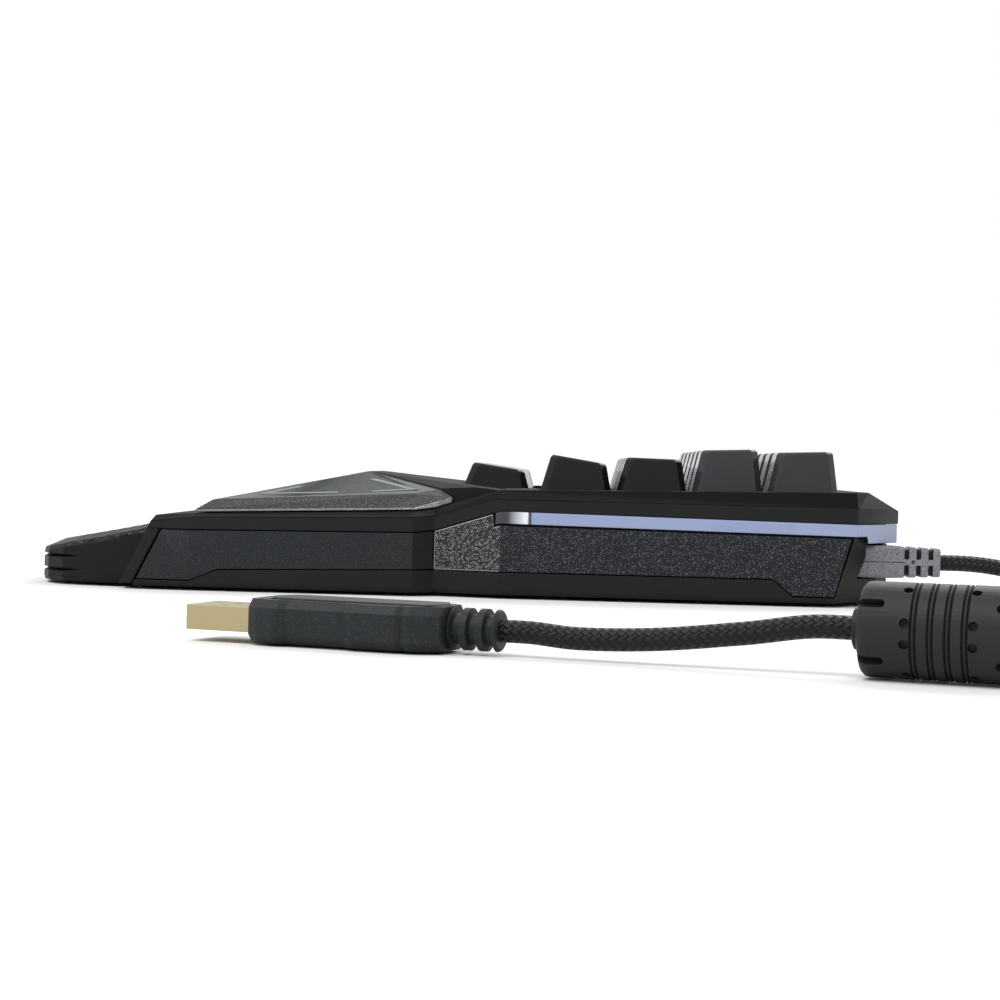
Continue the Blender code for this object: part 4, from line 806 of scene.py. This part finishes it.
fine_grain = grained_plastic(
    "fine_grain", (0.0145, 0.017, 0.0195), roughness=0.6, grain=0.0003, depth=0.00012,
    fleck=0.25, fleck_colour=(0.033, 0.037, 0.041),
)
# The facet just before the waist: painted shade, darker than the front panel.
facet_painted_shade = grained_plastic(
    "facet_painted_shade", (0.007, 0.009, 0.010), roughness=0.6, grain=0.0004, depth=0.00006,
    fleck=0.1, fleck_colour=(0.018, 0.021, 0.024),
)
coarse_grain = grained_plastic(
    "coarse_grain", (0.011, 0.013, 0.0155), roughness=0.55, grain=0.00021, depth=0.00012,
    fleck=0.2, fleck_colour=(0.145, 0.152, 0.165),
)
# The waist facet: painted light, paler and with brighter flecks.
facet_painted_light = grained_plastic(
    "facet_painted_light", (0.019, 0.021, 0.022), roughness=0.5, grain=0.00026, depth=0.00012,
    fleck=0.4, fleck_colour=(0.26, 0.265, 0.27),
)
# Two thin edges at the waist: painted highlight.
edge_painted_highlight = grained_plastic(
    "edge_painted_highlight", (0.35, 0.355, 0.36), roughness=0.4, grain=0.0004, depth=0.00001
)
rear_looks = [coarse_grain, facet_painted_light, edge_painted_highlight]
for word in ("right", "left"):
    panel = softened(
        f"side_panel_front_{word}", f"panel_front_{word}", FRONT_PANEL_EDGE, [fine_grain, facet_painted_shade]
    )
    for face in panel.data.polygons:
        face.material_index = int(face.center.x > WAIST_FRONT_X + CORNER_MARGIN)
    panel = softened(f"side_panel_rear_{word}", f"panel_rear_{word}", REAR_PANEL_EDGE, rear_looks)
    for face in panel.data.polygons:
        if face.center.x < WAIST_REAR_X - FACET_MARGIN:
            upright = abs(face.normal.y) > 0.95 and abs(face.normal.z) < 0.05
            broad_or_deep = face.area > THIN_FACE_AREA or abs(face.center.y) < PANEL_FACE_Y
            face.material_index = 1 if upright or broad_or_deep else 2

# Light strips
# A milky lilac-blue diffuser along each side under the frame, with the light at its front end painted in as
# a white band.
# Its top is let a little way into the frame, so that no gap shows between them.

STRIP_EDGE = 0.0002
STRIP_FRONT_X, STRIP_REAR_X = 0.008, 0.110
STRIP_TOP_LEAN = 0.3
STRIP_LIFT = 0.0002


def diffuser():
    """Clear black at the front, a white band painted in as the lamp's light, a black bar, then the milky
    strip.
    """
    made, tree, shader = new_material("lilac_diffuser", (0.3, 0.37, 0.62), 0.3)
    parted = tree.nodes.new("ShaderNodeSeparateXYZ")
    tree.links.new(object_place(tree), parted.inputs[0])
    share = tree.nodes.new("ShaderNodeMapRange")
    share.inputs["From Min"].default_value = STRIP_FRONT_X
    share.inputs["From Max"].default_value = STRIP_REAR_X
    tree.links.new(parted.outputs["X"], share.inputs["Value"])
    ramp = tree.nodes.new("ShaderNodeValToRGB")
    tree.links.new(share.outputs["Result"], ramp.inputs["Fac"])
    # The white stops from 0.078 to 0.084 are painted light, not a lamp.
    stops = [
        (0.0, (0.01, 0.012, 0.015)), (0.035, (0.02, 0.022, 0.028)), (0.078, (0.85, 0.87, 0.95)),
        (0.084, (0.85, 0.87, 0.95)), (0.086, (0.02, 0.02, 0.03)), (0.090, (0.02, 0.02, 0.03)),
        (0.092, (0.28, 0.34, 0.54)), (1.0, (0.3, 0.36, 0.56)),
    ]
    for k, (at, colour) in enumerate(stops):
        stop = ramp.color_ramp.elements[k] if k < 2 else ramp.color_ramp.elements.new(at)
        stop.position = at
        stop.color = (*colour, 1.0)
    tree.links.new(ramp.outputs["Color"], shader.inputs["Base Color"])
    shader.inputs["Coat Weight"].default_value = 0.4
    return made


lilac = diffuser()
for word in ("right", "left"):
    strip = softened(f"light_bar_{word}", f"light_strip_{word}", STRIP_EDGE, [lilac])
    for vertex in strip.data.vertices:
        if vertex.normal.z > STRIP_TOP_LEAN:
            vertex.co.z += STRIP_LIFT

# Top frame
# One smooth black moulding: the leaning front, the palm plate's seat, the waist and the rim round the keys.
# Its upper faces are duller than its sides, and painted darker as painted shade.

FRAME_EDGE = 0.0002
FRAME_TOP_LEAN = 0.25

frame_black = grained_plastic(
    "frame_black", (0.007, 0.008, 0.0085), roughness=0.45, grain=0.00025, depth=0.000005
)
# Faces that point upwards get this darker copy of the frame's black: painted shade.
frame_top_painted_shade = grained_plastic(
    "frame_top_painted_shade", (0.002, 0.0025, 0.0025), roughness=0.6, grain=0.00025, depth=0.000008, gloss=0.08
)
rim_frame = softened("top_frame", "rim_frame", FRAME_EDGE, [frame_black, frame_top_painted_shade])
for face in rim_frame.data.polygons:
    face.material_index = int(face.normal.z > FRAME_TOP_LEAN)

# Palm plate
# A faceted grey plate under the heel of the hand, grained on its slopes, with a painted highlight along its
# rim.
# The highlight is painted paler where the rim turns inwards behind the waist's front corner.

PLATE_EDGE = 0.0002
RIM_TOP = 0.0253
RIM_LEAN, CUT_LEAN = 0.4, 0.2

plate_grain = grained_plastic(
    "plate_grain", (0.017, 0.02, 0.02), roughness=0.55, grain=0.00028, depth=0.00014,
    fleck=0.3, fleck_colour=(0.11, 0.115, 0.115),
)
# The rim's thin upright faces: painted highlight.
rim_painted_highlight = grained_plastic(
    "rim_painted_highlight", (0.25, 0.26, 0.26), roughness=0.35, grain=0.00034, depth=0.00002,
    fleck=0.3, fleck_colour=(0.5, 0.5, 0.5),
)
# Where the rim turns inwards: a paler painted highlight.
rim_turn_painted_highlight = grained_plastic(
    "rim_turn_painted_highlight", (0.5, 0.51, 0.51), roughness=0.35, grain=0.0004, depth=0.00004,
    fleck=0.35, fleck_colour=(0.16, 0.165, 0.165),
)
palm_cover = softened("palm_plate", "palm_cover", PLATE_EDGE, [plate_grain, rim_painted_highlight, rim_turn_painted_highlight])
for face in palm_cover.data.polygons:
    if abs(face.normal.z) < RIM_LEAN and face.center.z < RIM_TOP:
        cut = face.center.x > WAIST_FRONT_X and face.normal.x > CUT_LEAN
        face.material_index = 2 if cut else 1

# Palm inlays
# A triangle of glossy dark plastic let into each sloping side of the plate.
# Two thin bracket lines are printed on it in a paler grey.

INLAY_EDGE = 0.00015
FACET_FRONT = Vector((-0.06342, -0.059, 0.0225))
FACET_RIDGE = Vector((-0.02772, -0.02, 0.0305))
FACET_REAR = Vector((-0.00612, -0.05437, 0.02628))
LINE_WIDTH = 0.0018
LINE_TOP, LINE_FOOT = 0.00008, -0.0001

facet_normal = (FACET_REAR - FACET_FRONT).cross(FACET_RIDGE - FACET_FRONT).normalized()


def facet_point(front_share, ridge_share):
    """A place on the facet, by how near it lies to its front and its ridge corner."""
    rest = 1.0 - front_share - ridge_share
    return FACET_FRONT * front_share + FACET_RIDGE * ridge_share + FACET_REAR * rest


def bracket_lines(side):
    """Two mitred chevrons that point to the facet's front and rear corners."""
    bm = bmesh.new()
    for start, corner, end in (
        (facet_point(0.498, 0.423), facet_point(0.762, 0.145), facet_point(0.44, 0.05)),
        (facet_point(0.093, 0.62), facet_point(0.08, 0.06), facet_point(0.29, 0.03)),
    ):
        first = (start - corner).normalized()
        second = (end - corner).normalized()
        inside = (first + second).normalized()
        mitre = LINE_WIDTH / math.sin(first.angle(second) / 2)
        edges = [
            (start, start + (inside - first * inside.dot(first)).normalized() * LINE_WIDTH),
            (corner, corner + inside * mitre),
            (end, end + (inside - second * inside.dot(second)).normalized() * LINE_WIDTH),
        ]
        rings = []
        for outer, inner in edges:
            section = ((outer, LINE_TOP), (inner, LINE_TOP), (inner, LINE_FOOT), (outer, LINE_FOOT))
            ring = [point + facet_normal * level for point, level in section]
            rings.append([(x, side * y, z) for x, y, z in ring])
        bridge(bm, rings)
    return bm


inlay_gloss = grained_plastic(
    "inlay_gloss", (0.022, 0.026, 0.026), roughness=0.3, grain=0.001, depth=0.000003, gloss=0.2
)
line_pale = grained_plastic(
    "line_pale", (0.11, 0.14, 0.145), roughness=0.3, grain=0.001, depth=0.000003
)
for side, word in ((1, "right"), (-1, "left")):
    inlay = softened(f"palm_inlay_{word}", f"inlay_{word}", INLAY_EDGE, [inlay_gloss])
    lines = add_piece(f"inlay_lines_{word}", bracket_lines(side), line_pale)
    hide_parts(f"palm_inlay_{word}")
    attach(lines, "housing")

# Keycaps
# Hollow caps with cut corners, each on a square stem that slides in its chimney and presses a dome.
# The first three rows are a little duller and painted darker as painted shade; the last two have a satin
# finish.

CAP_EDGE = 0.00025
SHADED_ROWS = "123"

cap_satin = grained_plastic(
    "cap_satin", (0.0245, 0.0275, 0.0315), roughness=0.14, grain=0.00035, depth=0.000004, gloss=0.35
)
# Rows 1 to 3 get this darker copy of the satin cap: painted shade.
cap_painted_shade = grained_plastic(
    "cap_painted_shade", (0.0045, 0.006, 0.0075), roughness=0.16, grain=0.00035, depth=0.000004, gloss=0.22
)
for body in frame["bodies"]:
    if not body.startswith("key_"):
        continue
    row = body.split("_")[1]
    look = cap_painted_shade if row in SHADED_ROWS else cap_satin
    cap = softened(body.replace("key_", "keycap_"), body + "_cap", CAP_EDGE, [look], body)

# Table and light
# A white table under a plain white room, one broad soft light above the camera and one behind.
# Far from the keypad the table turns into plain white, so that no horizon shows.

TABLE_HALF_SIZE = 6.0
TABLE_DROP = 0.0002
WHITE_FROM, WHITE_BEYOND = 0.3, 0.8
ROOM_ON_OBJECT, ROOM_TO_EYE = 0.55, 1.0


def add_table():
    """The table, lit as usual near the keypad and glowing white far from it."""
    bm = bmesh.new()
    bmesh.ops.create_grid(bm, x_segments=1, y_segments=1, size=TABLE_HALF_SIZE)
    look, tree, shader = new_material("table_white", (0.9, 0.9, 0.9), 0.8)
    reach = tree.nodes.new("ShaderNodeVectorMath")
    reach.operation = "LENGTH"
    tree.links.new(object_place(tree), reach.inputs[0])
    share = tree.nodes.new("ShaderNodeMapRange")
    share.interpolation_type = "SMOOTHSTEP"
    share.inputs["From Min"].default_value = WHITE_FROM
    share.inputs["From Max"].default_value = WHITE_BEYOND
    tree.links.new(reach.outputs["Value"], share.inputs["Value"])
    tree.links.new(share.outputs["Result"], shader.inputs["Emission Strength"])
    shader.inputs["Emission Color"].default_value = (1.0, 1.0, 1.0, 1.0)
    fading = mixed_colour(tree, share.outputs["Result"], (0.9, 0.9, 0.9), (0.0, 0.0, 0.0))
    tree.links.new(fading, shader.inputs["Base Color"])
    floor = add_piece("table", bm, look)
    floor.data.transform(Matrix.Translation((0.0, 0.0, -TABLE_DROP)))


def add_soft_light(name, place, width, height, power):
    """A broad lamp that faces the keypad."""
    lamp = bpy.data.lights.new(name, "AREA")
    lamp.shape = "RECTANGLE"
    lamp.size, lamp.size_y = width, height
    lamp.energy = power
    holder = placed(name, lamp)
    holder.location = place
    holder.rotation_euler = (-Vector(place)).to_track_quat("-Z", "Y").to_euler()


def add_white_room():
    """A world that the eye, gloss and clear pieces see white, and that lights the object more softly."""
    room = bpy.data.worlds.new("white_room")
    bpy.context.scene.world = room
    room.use_nodes = True
    tree, background = room.node_tree, room.node_tree.nodes["Background"]
    rays = tree.nodes.new("ShaderNodeLightPath").outputs
    mirrored = math_node(tree, "MAXIMUM", rays["Is Transmission Ray"], rays["Is Glossy Ray"])
    seen = math_node(tree, "MAXIMUM", rays["Is Camera Ray"], mirrored)
    strength = tree.nodes.new("ShaderNodeMapRange")
    strength.inputs["To Min"].default_value = ROOM_ON_OBJECT
    strength.inputs["To Max"].default_value = ROOM_TO_EYE
    tree.links.new(seen, strength.inputs["Value"])
    tree.links.new(strength.outputs["Result"], background.inputs["Strength"])
    background.inputs["Color"].default_value = (1.0, 1.0, 1.0, 1.0)


add_table()
add_soft_light("key_light", (-0.5, -0.7, 1.3), width=1.2, height=1.0, power=16.0)
add_soft_light("back_light", (0.5, 0.9, 1.0), width=1.2, height=0.8, power=10.0)
add_white_room()
bpy.context.scene.view_settings.view_transform = "Standard"
